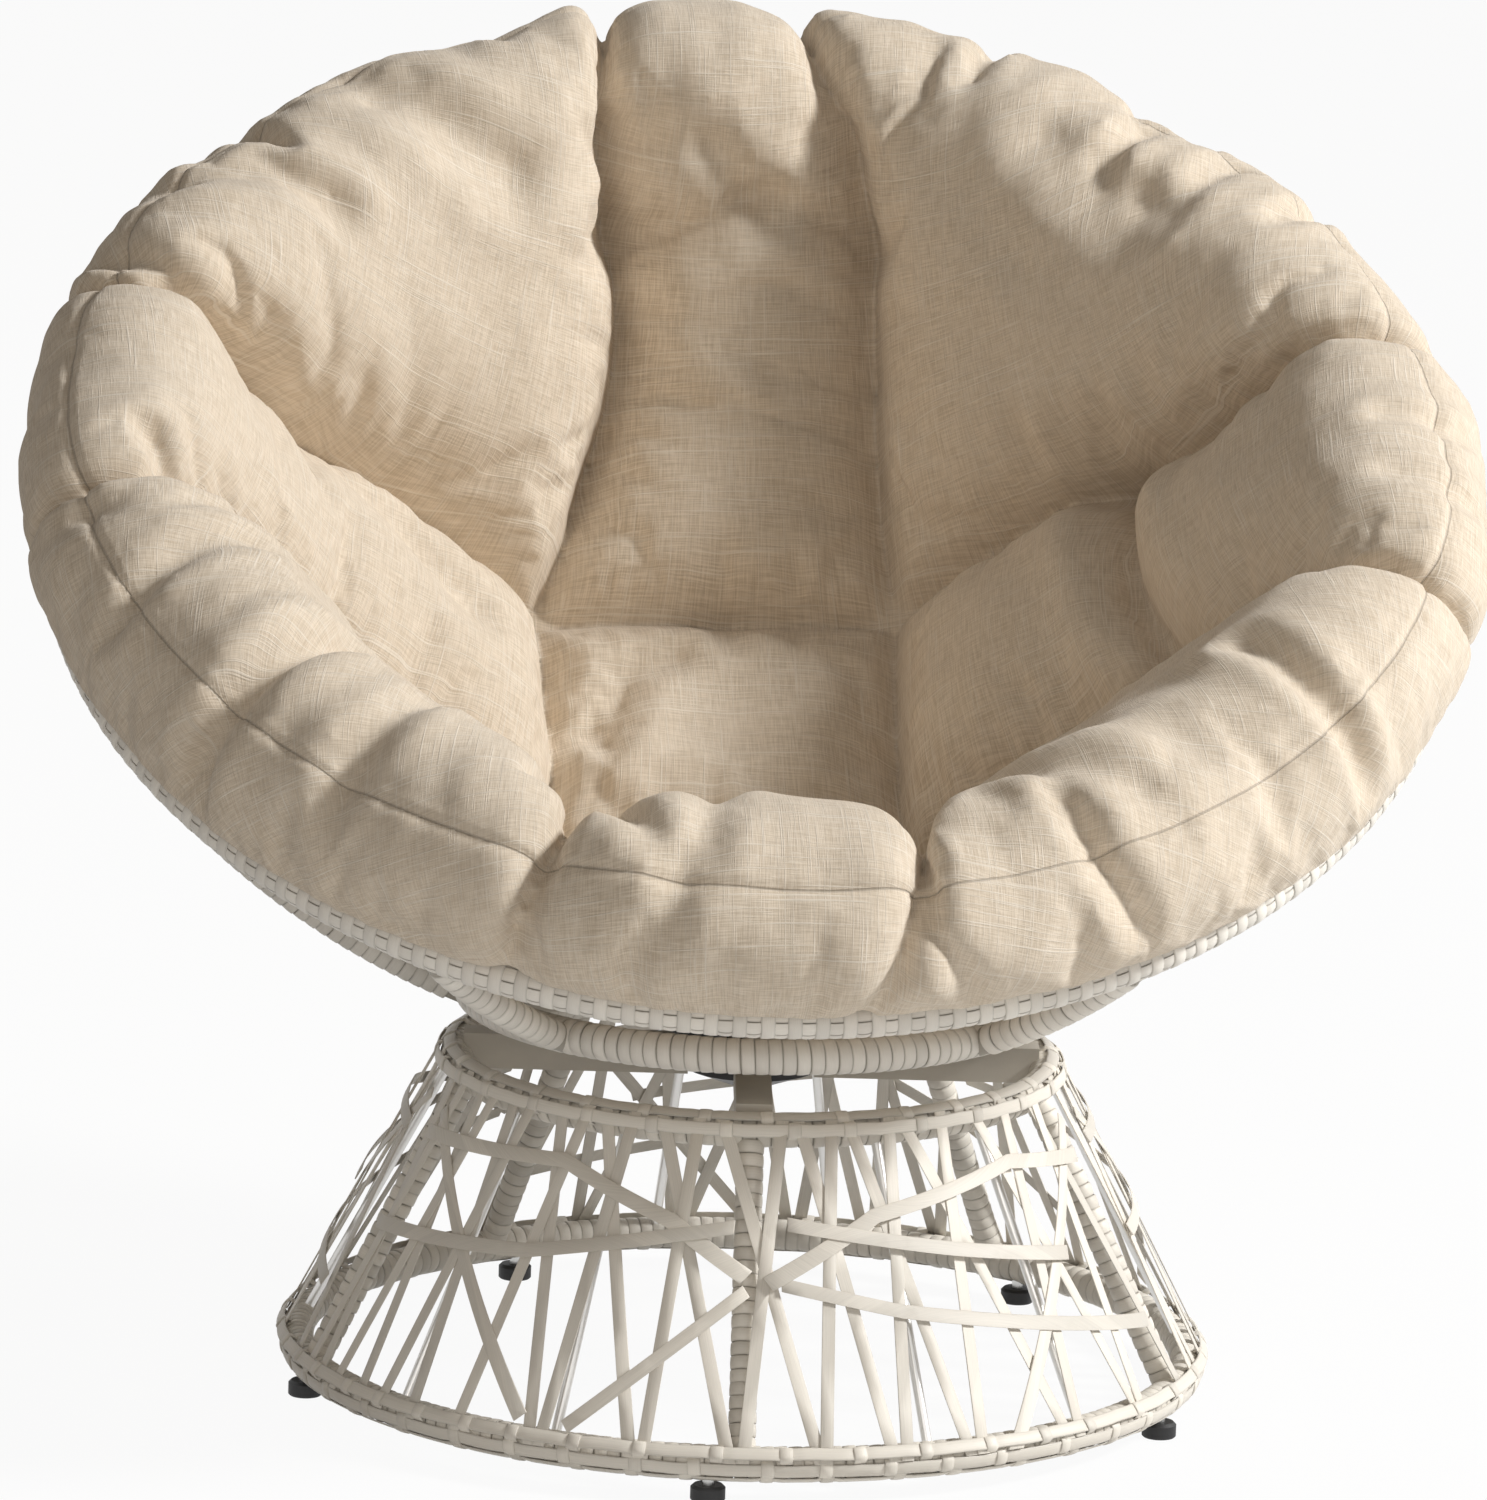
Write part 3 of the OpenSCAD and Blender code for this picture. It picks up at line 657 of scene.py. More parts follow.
class WindingTree:
    """Geometry Nodes tree that lays turns along a path, each a little out of true as hand work is."""

    SOCKETS = {
        "Turn": "NodeSocketObject",
        "Pitch": "NodeSocketFloat",
        "Even": "NodeSocketBool",
        "Slant": "NodeSocketFloat",
        "Slant Spread": "NodeSocketFloat",
        "Slip": "NodeSocketFloat",
        "Swell": "NodeSocketFloat",
        "Seed": "NodeSocketInt",
        "Finish": "NodeSocketMaterial",
    }

    def __init__(self) -> None:
        """Builds the tree once."""
        tree = bpy.data.node_groups.new("strip winding", "GeometryNodeTree")
        face = tree.interface
        face.new_socket(name="Path", in_out="INPUT", socket_type="NodeSocketGeometry")
        for name, kind in self.SOCKETS.items():
            face.new_socket(name=name, in_out="INPUT", socket_type=kind)
        face.new_socket(name="Winding", in_out="OUTPUT", socket_type="NodeSocketGeometry")
        self.tree = tree
        self._wire(NodeBoard(tree))

    def _wire(self, board: NodeBoard) -> None:
        """Fills the tree.

        Args:
            board: the tree's board.
        """
        given = board.add("NodeGroupInput").outputs
        seed = given["Seed"]
        curve = board.add("GeometryNodeMeshToCurve", {0: given["Path"]}).outputs[0]
        upright = board.add("GeometryNodeSetCurveNormal", {0: curve}, mode="Z_UP").outputs[0]
        pitch = {"Curve": upright, "Length": given["Pitch"]}
        stepped = board.add("GeometryNodeResampleCurve", pitch, mode="LENGTH").outputs[0]
        either = {"Switch": given["Even"], "False": upright, "True": stepped}
        chosen = board.add("GeometryNodeSwitch", either, input_type="GEOMETRY").outputs[0]
        stations = board.add("GeometryNodeCurveToPoints", {"Curve": chosen}, mode="EVALUATED").outputs

        def spread(amount: bpy.types.NodeSocket, shift: int) -> bpy.types.NodeSocket:
            """Draws a random number for each turn.

            Args:
                amount: how far it may be from nought either way.
                shift: sets this draw apart from the others.

            Returns:
                The number's socket.
            """
            own = board.math("ADD", seed, float(shift))
            low = board.math("MULTIPLY", amount, -1.0)
            node = board.add("FunctionNodeRandomValue", {2: low, 3: amount, 8: own}, data_type="FLOAT")
            return node.outputs[1]

        shift = {0: stations["Tangent"], "Scale": spread(given["Slip"], 1)}
        slip = board.add("ShaderNodeVectorMath", shift, operation="SCALE").outputs[0]
        moved = board.add("GeometryNodeSetPosition", {"Geometry": stations["Points"], "Offset": slip}).outputs[0]
        aim = board.add(
            "FunctionNodeAxesToRotation",
            {"Primary Axis": stations["Tangent"], "Secondary Axis": stations["Normal"]},
            primary_axis="Z",
            secondary_axis="X",
        ).outputs[0]
        slant = board.math("ADD", given["Slant"], spread(given["Slant Spread"], 2))
        tilt = board.add("ShaderNodeCombineXYZ", {0: slant, 1: spread(given["Slant Spread"], 3)}).outputs[0]
        by = board.add("FunctionNodeEulerToRotation", {0: tilt}).outputs[0]
        twist = {"Rotation": aim, "Rotate By": by}
        turned = board.add("FunctionNodeRotateRotation", twist, rotation_space="LOCAL").outputs[0]
        size = board.math("ADD", 1.0, spread(given["Swell"], 4))
        scale = board.add("ShaderNodeCombineXYZ", {0: size, 1: size, 2: 1.0}).outputs[0]
        turn = board.add("GeometryNodeObjectInfo", {"Object": given["Turn"], "As Instance": True}).outputs["Geometry"]
        each = {"Points": moved, "Instance": turn, "Rotation": turned, "Scale": scale}
        laid = board.add("GeometryNodeInstanceOnPoints", each).outputs[0]
        tint = board.add("FunctionNodeRandomValue", {2: 0.0, 3: 1.0, 8: seed}, data_type="FLOAT").outputs[1]
        mark = {"Geometry": laid, "Name": TINT, "Value": tint}
        marked = board.add("GeometryNodeStoreNamedAttribute", mark, data_type="FLOAT", domain="INSTANCE").outputs[0]
        real = board.add("GeometryNodeRealizeInstances", {"Geometry": marked}).outputs[0]
        dressed = board.add("GeometryNodeSetMaterial", {"Geometry": real, "Material": given["Finish"]}).outputs[0]
        board.add("NodeGroupOutput", {0: dressed})

    def wind(self, name: str, path: bpy.types.Object, turn: bpy.types.Object, **values: object) -> bpy.types.Object:
        """Winds a path.

        Args:
            name: the wound piece's name.
            path: a mesh of edges, used up by this call.
            turn: the turn to repeat.
            values: the tree's other inputs, by name with underscores.

        Returns:
            A plain mesh of all the turns.
        """
        modifier = path.modifiers.new("winding", "NODES")
        modifier.node_group = self.tree
        ids = {item.name: item.identifier for item in self.tree.interface.items_tree if item.in_out == "INPUT"}
        modifier[ids["Turn"]] = turn
        for key, value in values.items():
            modifier[ids[key.replace("_", " ")]] = value
        piece = plain_copy(path, name)
        discard(turn)
        return piece


def path_object(name: str, *lines: Sequence[Vector], closed: bool = False) -> bpy.types.Object:
    """Makes a mesh of edges along one or more lines.

    Args:
        name: the path's name.
        lines: the points of each line.
        closed: whether each line runs round to its start.

    Returns:
        The path.
    """
    verts, edges = [], []
    for line in lines:
        first = len(verts)
        verts += list(line)
        last = len(line) if closed else len(line) - 1
        edges += [(first + i, first + (i + 1) % len(line)) for i in range(last)]
    return mesh_object(name, verts, [], edges)


@dataclass(frozen=True)
class Hoop:
    """A round hoop of bar, level or tilted about the X axis."""

    centre: Vector
    radius: float
    bar: float
    tilt: float = 0.0

    @staticmethod
    def level(node: str) -> Hoop:
        """Reads a level hoop from a node's box.

        Args:
            node: the node's name.

        Returns:
            The hoop.
        """
        low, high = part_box(node)
        bar = (high.z - low.z) / 2
        return Hoop((low + high) / 2, (high.x - low.x) / 2 - bar, bar)

    @staticmethod
    def tilted(node: str) -> Hoop:
        """Reads a hoop tilted about the X axis from a node's box.

        Args:
            node: the node's name.

        Returns:
            The hoop.
        """
        low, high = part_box(node)
        x, y, z = (high - low) / 2
        b = y + z - x
        bar = b - math.sqrt(max(0.0, b * b - (y * y + z * z - x * x)))
        return Hoop((low + high) / 2, x - bar, bar, math.atan2(z - bar, y - bar))

    @property
    def frame(self) -> Matrix:
        """The hoop's own frame: Z along its axis."""
        return Matrix.Translation(self.centre) @ Matrix.Rotation(self.tilt, 4, "X")

    def point(self, angle: float, lean: float = 0.0, distance: float = 0.0) -> Vector:
        """Gives a point on or round the bar.

        Args:
            angle: where along the hoop, in radians from +X.
            lean: where round the bar, from outwards towards up.
            distance: how far from the bar's middle.

        Returns:
            The point.
        """
        r = self.radius + distance * math.cos(lean)
        return self.frame @ Vector((r * math.cos(angle), r * math.sin(angle), distance * math.sin(lean)))

    def path(self, name: str, start: float = 0.0, steps: int = 540) -> bpy.types.Object:
        """Makes the path along the bar's middle.

        Args:
            name: the path's name.
            start: where it starts, in radians.
            steps: number of points.

        Returns:
            The path.
        """
        return path_object(name, [self.point(start + math.tau * i / steps) for i in range(steps)], closed=True)


# Studio
# ====================


@dataclass(frozen=True)
class Lamp:
    """A square lamp aimed at the bowl: its side in metres, its power in watts."""

    name: str
    place: tuple[float, float, float]
    size: float
    power: float
    colour: Colour

    def hang(self) -> None:
        """Hangs the lamp."""
        data = bpy.data.lights.new(self.name, "AREA")
        data.shape, data.size, data.energy, data.color = "SQUARE", self.size, self.power, self.colour
        lamp = bpy.data.objects.new(self.name, data)
        lamp.location = self.place
        lamp.rotation_euler = (Vector((0, 0, 0.5)) - Vector(self.place)).to_track_quat("-Z", "Y").to_euler()
        bpy.context.scene.collection.objects.link(lamp)


@dataclass
class Studio:
    """Pale floor, one soft key from the right, quiet fill, and the camera."""

    distance: float = 6.6465
    height: float = 1.7979
    pitch: float = 0.1993
    yaw: float = 0.0923
    roll: float = 0.0317
    aside: float = 0.0121
    lens: float = 232.35
    floor_size: float = 60.0
    floor_white: float = 0.94
    fill: float = 0.18
    fill_colour: Colour = (1.0, 0.91, 0.80)
    lamps: tuple[Lamp, ...] = (
        Lamp("key", (5.5, -1.3, 4.4), 1.2, 505.0, (1.0, 1.0, 0.99)),
        Lamp("front_fill", (-1.0, -6.2, 2.2), 2.6, 46.0, (1.0, 0.94, 0.86)),
    )

    def build(self) -> None:
        """Sets up floor, lamps, world and camera."""
        self._floor()
        self._world()
        for lamp in self.lamps:
            lamp.hang()
        self._camera()
        bpy.context.scene.view_settings.view_transform = "Standard"
        log.info("studio ready")

    def _floor(self) -> None:
        """Lays the floor."""
        half = self.floor_size / 2
        corners = [(-half, -half, 0), (half, -half, 0), (half, half, 0), (-half, half, 0)]
        floor = mesh_object("studio_floor", corners, [(0, 1, 2, 3)])
        mat, board = new_material("pale floor")
        grit = board.add("ShaderNodeTexNoise", {"Scale": 3.0, "Detail": 4.0})
        colour = board.mix_colour(grit.outputs["Fac"], (0.80, 0.80, 0.80, 1.0), (0.84, 0.84, 0.835, 1.0))
        matt = board.add("ShaderNodeBsdfDiffuse", {"Color": colour})
        glow = board.add("ShaderNodeEmission", {"Color": (1.0, 1.0, 1.0, 1.0), "Strength": 1.0})
        rays = board.add("ShaderNodeLightPath")
        mirrored = board.math("MAXIMUM", rays.outputs["Is Glossy Ray"], rays.outputs["Is Transmission Ray"])
        seen = board.math("MAXIMUM", rays.outputs["Is Camera Ray"], mirrored)
        share = board.math("MULTIPLY", seen, self.floor_white)
        blend = board.add("ShaderNodeMixShader", {0: share, 1: matt.outputs[0], 2: glow.outputs[0]})
        board.add("ShaderNodeOutputMaterial", {"Surface": blend.outputs[0]})
        floor.data.materials.append(mat)

    def _world(self) -> None:
        """Sets a plain world, white where it is seen."""
        world = bpy.data.worlds.new("studio world")
        world.use_nodes = True
        board = NodeBoard(world.node_tree)
        rays = board.add("ShaderNodeLightPath")
        seen = board.math("MAXIMUM", rays.outputs["Is Camera Ray"], rays.outputs["Is Glossy Ray"])
        strength = board.math("MULTIPLY_ADD", seen, 1.0 - self.fill, self.fill)
        colour = board.mix_colour(seen, rgba(self.fill_colour), (1.0, 1.0, 1.0, 1.0))
        sky = board.add("ShaderNodeBackground", {"Color": colour, "Strength": strength})
        board.add("ShaderNodeOutputWorld", {0: sky.outputs[0]})
        bpy.context.scene.world = world

    def _camera(self) -> None:
        """Places the camera."""
        data = bpy.data.cameras.new("camera")
        data.lens, data.sensor_width, data.sensor_fit = self.lens, 36.0, "AUTO"
        data.clip_end = 200.0
        camera = bpy.data.objects.new("camera", data)
        sin, cos = math.sin(self.yaw), math.cos(self.yaw)
        place = Vector((-self.aside * cos - self.distance * sin, self.aside * sin - self.distance * cos, self.height))
        aim = Matrix.Rotation(-self.yaw, 4, "Z") @ Matrix.Rotation(math.pi / 2 - self.pitch, 4, "X")
        camera.matrix_world = Matrix.Translation(place) @ (aim @ Matrix.Rotation(self.roll, 4, "Z"))
        bpy.context.scene.collection.objects.link(camera)
        bpy.context.scene.camera = camera


# Base
# ====================


def finish_wicker(
    piece: bpy.types.Object, body: Body, nodes: Sequence[str], mat: bpy.types.Material | None = None
) -> bpy.types.Object:
    """Dresses a wicker piece, hangs it on its body, hides the nodes that it stands for and logs it.

    Args:
        piece: the piece.
        body: the body that it moves with.
        nodes: the nodes that it stands for.
        mat: its material, where its tree hasn't set one.

    Returns:
        The piece.
    """
    if mat is not None:
        piece.data.materials.clear()
        piece.data.materials.append(mat)
    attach(piece, body.value)
    if nodes:
        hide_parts(*nodes)
    report(piece, body)
    return piece


def runner_row(
    name: str,
    hoop: Hoop,
    lean: float,
    distance: float,
    strip: Strip,
    dips: Sequence[float],
    dip: float,
    start: float,
    tint: float,
) -> bpy.types.Object:
    """Sweeps one runner round a hoop, dipping under a turn here and there.

    Args:
        name: the row's name.
        hoop: the hoop it runs round.
        lean: where round the bar it lies.
        distance: how far its crown lies from the bar's middle.
        strip: the strip's section.
        dips: where along the hoop it dips, in radians.
        dip: how far it dips.
        start: where the row starts.
        tint: its shade, 0 to 1.

    Returns:
        The row.
    """
    steps = 720
    section = strip.section(0.0)
    reach = 1.05 * strip.width / hoop.radius
    verts = []
    for i in range(steps):
        angle = start + math.tau * i / steps
        near = min(abs((angle - d + math.pi) % math.tau - math.pi) for d in dips)
        low = dip * max(0.0, math.cos(math.pi / 2 * min(1.0, near / reach)))
        wave = 0.0002 * math.sin(angle * 31.0 + tint * 9) + 0.00015 * math.sin(angle * 57.0)
        outward = hoop.point(angle, lean, 1.0) - hoop.point(angle, lean, 0.0)
        across = hoop.point(angle, lean + math.pi / 2, 1.0) - hoop.point(angle, lean + math.pi / 2, 0.0)
        middle = hoop.point(angle, lean, distance - low)
        verts += [middle + across * (a + wave) + outward * h for h, a in section]
    faces, uvs = swept_faces(section, steps, hoop.radius * math.tau / steps, closed=True)
    row = strip_object(name, verts, faces, uvs, STRIP_CREASE)
    write_value(row.data, TINT, [tint] * len(verts))
    return row


def join(name: str, parts: Sequence[bpy.types.Object]) -> bpy.types.Object:
    """Joins meshes into one piece.

    Args:
        name: the piece's name.
        parts: the meshes, used up by this call.

    Returns:
        The piece.
    """
    with bpy.context.temp_override(active_object=parts[0], selected_editable_objects=list(parts), object=parts[0]):
        bpy.ops.object.join()
    parts[0].name = parts[0].data.name = name
    return parts[0]


@dataclass
class Row:
    """One runner round a base hoop: where round the bar, how proud of the winding, and its shade."""

    lean_degrees: float
    proud: float
    tint: float


@dataclass
class BoundHoop:
    """A base hoop with its turns, its runners and the turns that hold them."""

    node: str
    rows: Sequence[Row]
    seed: int
    strip: Strip = field(default_factory=Strip)
    pitch: float = 0.00935
    dip: float = 0.0007
    cover: float = 0.0008
    span: tuple[float, float] = (0.036, 0.055)

    def build(self, tree: WindingTree, finishes: Finishes) -> None:
        """Winds the hoop.

        Args:
            tree: the winding tree.
            finishes: the chair's finishes.
        """
        hoop = Hoop.level(self.node + "_wrap")
        turn = ring_turn("turn", self.strip, hoop.bar - 0.0001)
        wound = tree.wind(
            self.node + "_turns", hoop.path("path"), turn, Pitch=self.pitch, Even=True, Slant=0.05,
            Slant_Spread=0.035, Slip=0.0003, Swell=0.012, Seed=self.seed, Finish=finishes.wound,
        )
        finish_wicker(wound, Body.BASE, [self.node + "_wrap"])
        chance = random.Random(self.seed)
        parts = []
        for number, row in enumerate(self.rows):
            start = chance.uniform(0, 1)
            dips, angle = [], start
            while angle < start + math.tau - 0.6 * self.span[1] / hoop.radius:
                dips.append(angle)
                angle += chance.uniform(*self.span) / hoop.radius
            lean = math.radians(row.lean_degrees)
            distance = hoop.bar + row.proud
            parts.append(runner_row("row", hoop, lean, distance, self.strip, dips, self.dip, start, row.tint))
            top = distance - self.dip + self.cover + 0.0006
            reach = math.asin(min(0.95, (self.strip.width / 2 + 0.0042) / distance))
            arch = saddle_turn("arch", self.strip, hoop.bar, top, -lean, reach)
            stations = path_object("stations", [hoop.point(d) for d in dips], closed=True)
            parts.append(
                tree.wind(
                    "holders", stations, arch, Pitch=1.0, Even=False, Slant=0.02, Slant_Spread=0.05, Slip=0.0,
                    Swell=0.0, Seed=self.seed + number + 7, Finish=finishes.wound,
                )
            )
        runners = join(self.node + "_runner_rows", parts)
        finish_wicker(runners, Body.BASE, [self.node + "_runners"], finishes.wound)


@dataclass
class DrumBase:
    """The open woven drum: hoops, posts and strands; its cross arms and feet stay as the frame's nodes."""

    tree: WindingTree
    finishes: Finishes
    post_count: int = 5
    post_radius: float = 0.0096
    post_gap: float = 0.0022
    post_pitch: float = 0.0094
    turn_degrees: float = -5.0
    strand_nodes: tuple[str, ...] = ("weave_right_lean", "weave_left_lean", "weave_diagonals", "weave_bands")

    def build(self) -> None:
        """Builds the base."""
        floor_rows = [Row(38.0, 0.0046, 0.55), Row(-13.0, 0.0013, 0.35), Row(-64.0, 0.0013, 0.5)]
        neck_rows = [Row(14.0, 0.0037, 0.6), Row(65.0, 0.0021, 0.05)]
        BoundHoop("floor_hoop", floor_rows, 11).build(self.tree, self.finishes)
        BoundHoop("neck_hoop", neck_rows, 23).build(self.tree, self.finishes)
        self._posts()
        for node in self.strand_nodes:
            dressed_strands(node, Body.BASE, self.finishes.strand)

    def _posts(self) -> None:
        """Winds the slanted posts."""
        low, high = Hoop.level("floor_hoop"), Hoop.level("neck_hoop")
        lines = []
        for i in range(self.post_count):
            angle = math.radians(self.turn_degrees + i * 360 / self.post_count - 90)
            foot, head = low.point(angle), high.point(angle)
            along = (head - foot).normalized() * (low.bar + self.post_gap)
            lines.append([(foot + along).lerp(head - along, t / 20) for t in range(21)])
        turn = ring_turn("turn", Strip(), self.post_radius)
        wound = self.tree.wind(
            "post_turns", path_object("path", *lines), turn, Pitch=self.post_pitch, Even=True, Slant=0.06,
            Slant_Spread=0.03, Slip=0.0002, Swell=0.008, Seed=31, Finish=self.finishes.wound,
        )
        finish_wicker(wound, Body.BASE, ["base_post_wraps"])


def dressed_strands(node: str, body: Body, mat: bpy.types.Material) -> bpy.types.Object:
    """Makes a merged copy of a node of flat strands, with eased edges, grain and a shade for each strand.

    Args:
        node: the node's name.
        body: the body that it moves with.
        mat: the strands' material.

    Returns:
        The piece.
    """
    source = bpy.data.objects[node]
    shape = bmesh.new()
    shape.from_mesh(source.data)
    bmesh.ops.remove_doubles(shape, verts=shape.verts, dist=2e-6)
    bmesh.ops.recalc_face_normals(shape, faces=shape.faces)
    sharp = [e for e in shape.edges if e.is_manifold and e.calc_face_angle(0.0) > math.radians(50)]
    bmesh.ops.bevel(
        shape, geom=sharp, offset=STRAND_EASE, offset_type="OFFSET", segments=1, affect="EDGES", clamp_overlap=True
    )
    shape.verts.ensure_lookup_table()
    group = [-1] * len(shape.verts)
    islands = 0
    for seed in shape.verts:
        if group[seed.index] >= 0:
            continue
        stack, group[seed.index] = [seed], islands
        while stack:
            for edge in stack.pop().link_edges:
                for vert in edge.verts:
                    if group[vert.index] < 0:
                        group[vert.index] = islands
                        stack.append(vert)
        islands += 1
    mesh = bpy.data.meshes.new(node + "_strands")
    shape.to_mesh(mesh)
    shape.free()
    piece = bpy.data.objects.new(node + "_strands", mesh)
    bpy.context.scene.collection.objects.link(piece)
    group = np.array(group)
    points = read_mesh(mesh.vertices)
    flat = np.zeros((len(points), 2))
    for i in range(islands):
        own = group == i
        spread = points[own] - points[own].mean(0)
        axes = np.linalg.svd(spread, full_matrices=False)[2]
        flat[own] = spread @ axes[:2].T
        flat[own, 0] += i * 0.37
    write_uv(mesh, STRIP_UV, flat[corner_vertices(mesh)])
    write_value(mesh, TINT, np.random.default_rng(len(node)).random(islands)[group])
    shade_smooth(mesh, 35.0)
    return finish_wicker(piece, body, [node], mat)


# Bowl
# ====================


def window_ring(name: str, inner: float, outer: float, rows: int, length: float, tuck: float) -> bpy.types.Object:
    """Makes the ring of runner pieces that shows between two turns of the rim.

    Args:
        name: the ring's name.
        inner: radius of the bar side.
        outer: radius of the crowns.
        rows: number of runners round the bar.
        length: length of the window along the bar.
        tuck: how far each piece reaches under the turns.

    Returns:
        The ring, with each runner piece closed.
    """
    across, along, half_across = 3, 4, 0.0044
    verts, faces, uvs = [], [], []
    share = math.tau / rows
    for row in range(rows):
        first = len(verts)
        for j in range(along + 1):
            t = 2 * j / along - 1
            for i in range(across + 1):
                s = 2 * i / across - 1
                radius = outer - (outer - inner) * (0.16 * s * s + 0.62 * abs(t) ** 2.4)
                angle = share * (row + 0.5 + 0.455 * s)
                verts.append((radius * math.cos(angle), radius * math.sin(angle), t * (length / 2 + tuck)))
        top = len(verts) - first
        for j in range(along + 1):
            for i in range(across + 1):
                point = Vector(verts[first + j * (across + 1) + i])
                flat = Vector((point.x, point.y, 0)).normalized() * inner
                verts.append((flat.x, flat.y, point.z))

        def at(i: int, j: int, low: bool = False) -> int:
            """Numbers a vertex of this runner piece."""
            return first + (top if low else 0) + j * (across + 1) + i

        quads = []
        for j in range(along):
            for i in range(across):
                quads.append((at(i, j), at(i + 1, j), at(i + 1, j + 1), at(i, j + 1)))
                quads.append((at(i, j, True), at(i, j + 1, True), at(i + 1, j + 1, True), at(i + 1, j, True)))
        for i, n in zip(range(across), range(1, across + 1)):
            quads.append((at(i, 0), at(i, 0, True), at(n, 0, True), at(n, 0)))
            quads.append((at(i, along), at(n, along), at(n, along, True), at(i, along, True)))
        for j, n in zip(range(along), range(1, along + 1)):
            quads.append((at(0, j), at(0, n), at(0, n, True), at(0, j, True)))
            quads.append((at(across, j), at(across, j, True), at(across, n, True), at(across, n)))
        faces += quads
        for corner in (corner for quad in quads for corner in quad):
            j, i = divmod((corner - first) % top, across + 1)
            uvs.append((j * 0.0025 + row * 0.11, (2 * i / across - 1) * half_across))
    return strip_object(name, verts, faces, uvs, 60.0)


@dataclass
class Bowl:
    """The tilted bowl: rim, seat hoop, ribs and open side weave."""

    tree: WindingTree
    finishes: Finishes
    depth: float = 0.255
    rib_count: int = 8
    rib_offset: float = 0.0025
    rib_wound: float = 0.011
    rib_ends: tuple[float, float] = (0.019, 0.021)
    rim_pitch: float = 0.0185
    turn_pitch: float = 0.0093
    slack: float = 0.9999
    strip: Strip = Strip(width=0.0092, thickness=0.0013)
    rim_strip: Strip = Strip(width=0.0098, thickness=0.0013)
    weave_nodes: tuple[str, ...] = ("bowl_weave_right_lean", "bowl_weave_left_lean", "bowl_weave_bands")

    def build(self) -> None:
        """Builds the bowl."""
        self._rim()
        self._seat_hoop()
        self._ribs()
        for node in self.weave_nodes:
            dressed_strands(node, Body.BOWL, self.finishes.strand)

    def _rim(self) -> None:
        """Winds the rim over its runners."""
        hoop = Hoop.tilted("rim_hoop_wrap")
        around = math.tau * hoop.radius
        pitch = around / round(around / self.rim_pitch)
        turn = ring_turn("turn", self.rim_strip, hoop.bar, around=26)
        over = self.tree.wind(
            "rim_turns", hoop.path("path", steps=900), turn, Pitch=pitch * self.slack, Even=True, Slant=0.03,
            Slant_Spread=0.03, Slip=0.0003, Swell=0.006, Seed=41, Finish=self.finishes.rim,
        )
        window = pitch - self.rim_strip.width
        tiles = window_ring("tiles", hoop.bar - 0.0019, hoop.bar - 0.0002, 8, window, 0.0012)
        between = hoop.path("path", start=pitch / 2 / hoop.radius, steps=900)
        rows = self.tree.wind(
            "rim_runners", between, tiles, Pitch=pitch * self.slack, Even=True, Slant=0.03, Slant_Spread=0.01,
            Slip=0.0, Swell=0.004, Seed=43, Finish=self.finishes.rim,
        )
        finish_wicker(over, Body.BOWL, ["rim_hoop_wrap"])
        finish_wicker(rows, Body.BOWL, [])

    def _seat_hoop(self) -> None:
        """Winds the seat hoop."""
        hoop = Hoop.level("seat_hoop_wrap")
        turn = ring_turn("turn", self.strip, hoop.bar, around=24)
        wound = self.tree.wind(
            "seat_hoop_turns", hoop.path("path"), turn, Pitch=self.turn_pitch, Even=True, Slant=0.07,
            Slant_Spread=0.02, Slip=0.0002, Swell=0.006, Seed=51, Finish=self.finishes.rim,
        )
        finish_wicker(wound, Body.BOWL, ["seat_hoop_wrap"])

    def _ribs(self) -> None:
        """Winds the ribs, from the seat hoop to the rim."""
        seat, rim = Hoop.level("seat_hoop"), Hoop.tilted("rim_hoop")
        top = rim.frame @ Vector((0, 0, self.depth))
        sphere = math.hypot(rim.radius, self.depth)
        radius = sphere + self.rib_offset
        low = math.asin(seat.radius / sphere)
        lines = []
        for i in range(1, self.rib_count):
            a = math.tau * i / self.rib_count
            c, s = math.cos(rim.tilt), -math.sin(rim.tilt) * math.cos(a)
            high = math.atan2(s, c) + math.acos(self.depth / sphere / math.hypot(c, s))
            first, last = low + self.rib_ends[0] / radius, high - self.rib_ends[1] / radius
            turns = [first + (last - first) * k / 60 for k in range(61)]
            ways = [(math.sin(t) * math.sin(a), -math.sin(t) * math.cos(a), -math.cos(t)) for t in turns]
            lines.append([top + radius * Vector(way) for way in ways])
        turn = ring_turn("turn", self.strip, self.rib_wound, around=20)
        wound = self.tree.wind(
            "rib_turns", path_object("path", *lines), turn, Pitch=self.turn_pitch, Even=True, Slant=0.07,
            Slant_Spread=0.025, Slip=0.0002, Swell=0.006, Seed=61, Finish=self.finishes.rim,
        )
        finish_wicker(wound, Body.BOWL, ["rib_wraps"])


# Cushion
# ====================


Line = tuple[tuple[float, float], ...]
Lobes = tuple[tuple[float, float, float], ...]


@dataclass(frozen=True)
class Fold:
    """A soft fold pressed into the stuffed cloth."""

    depth: float
    width: float
    line: Line


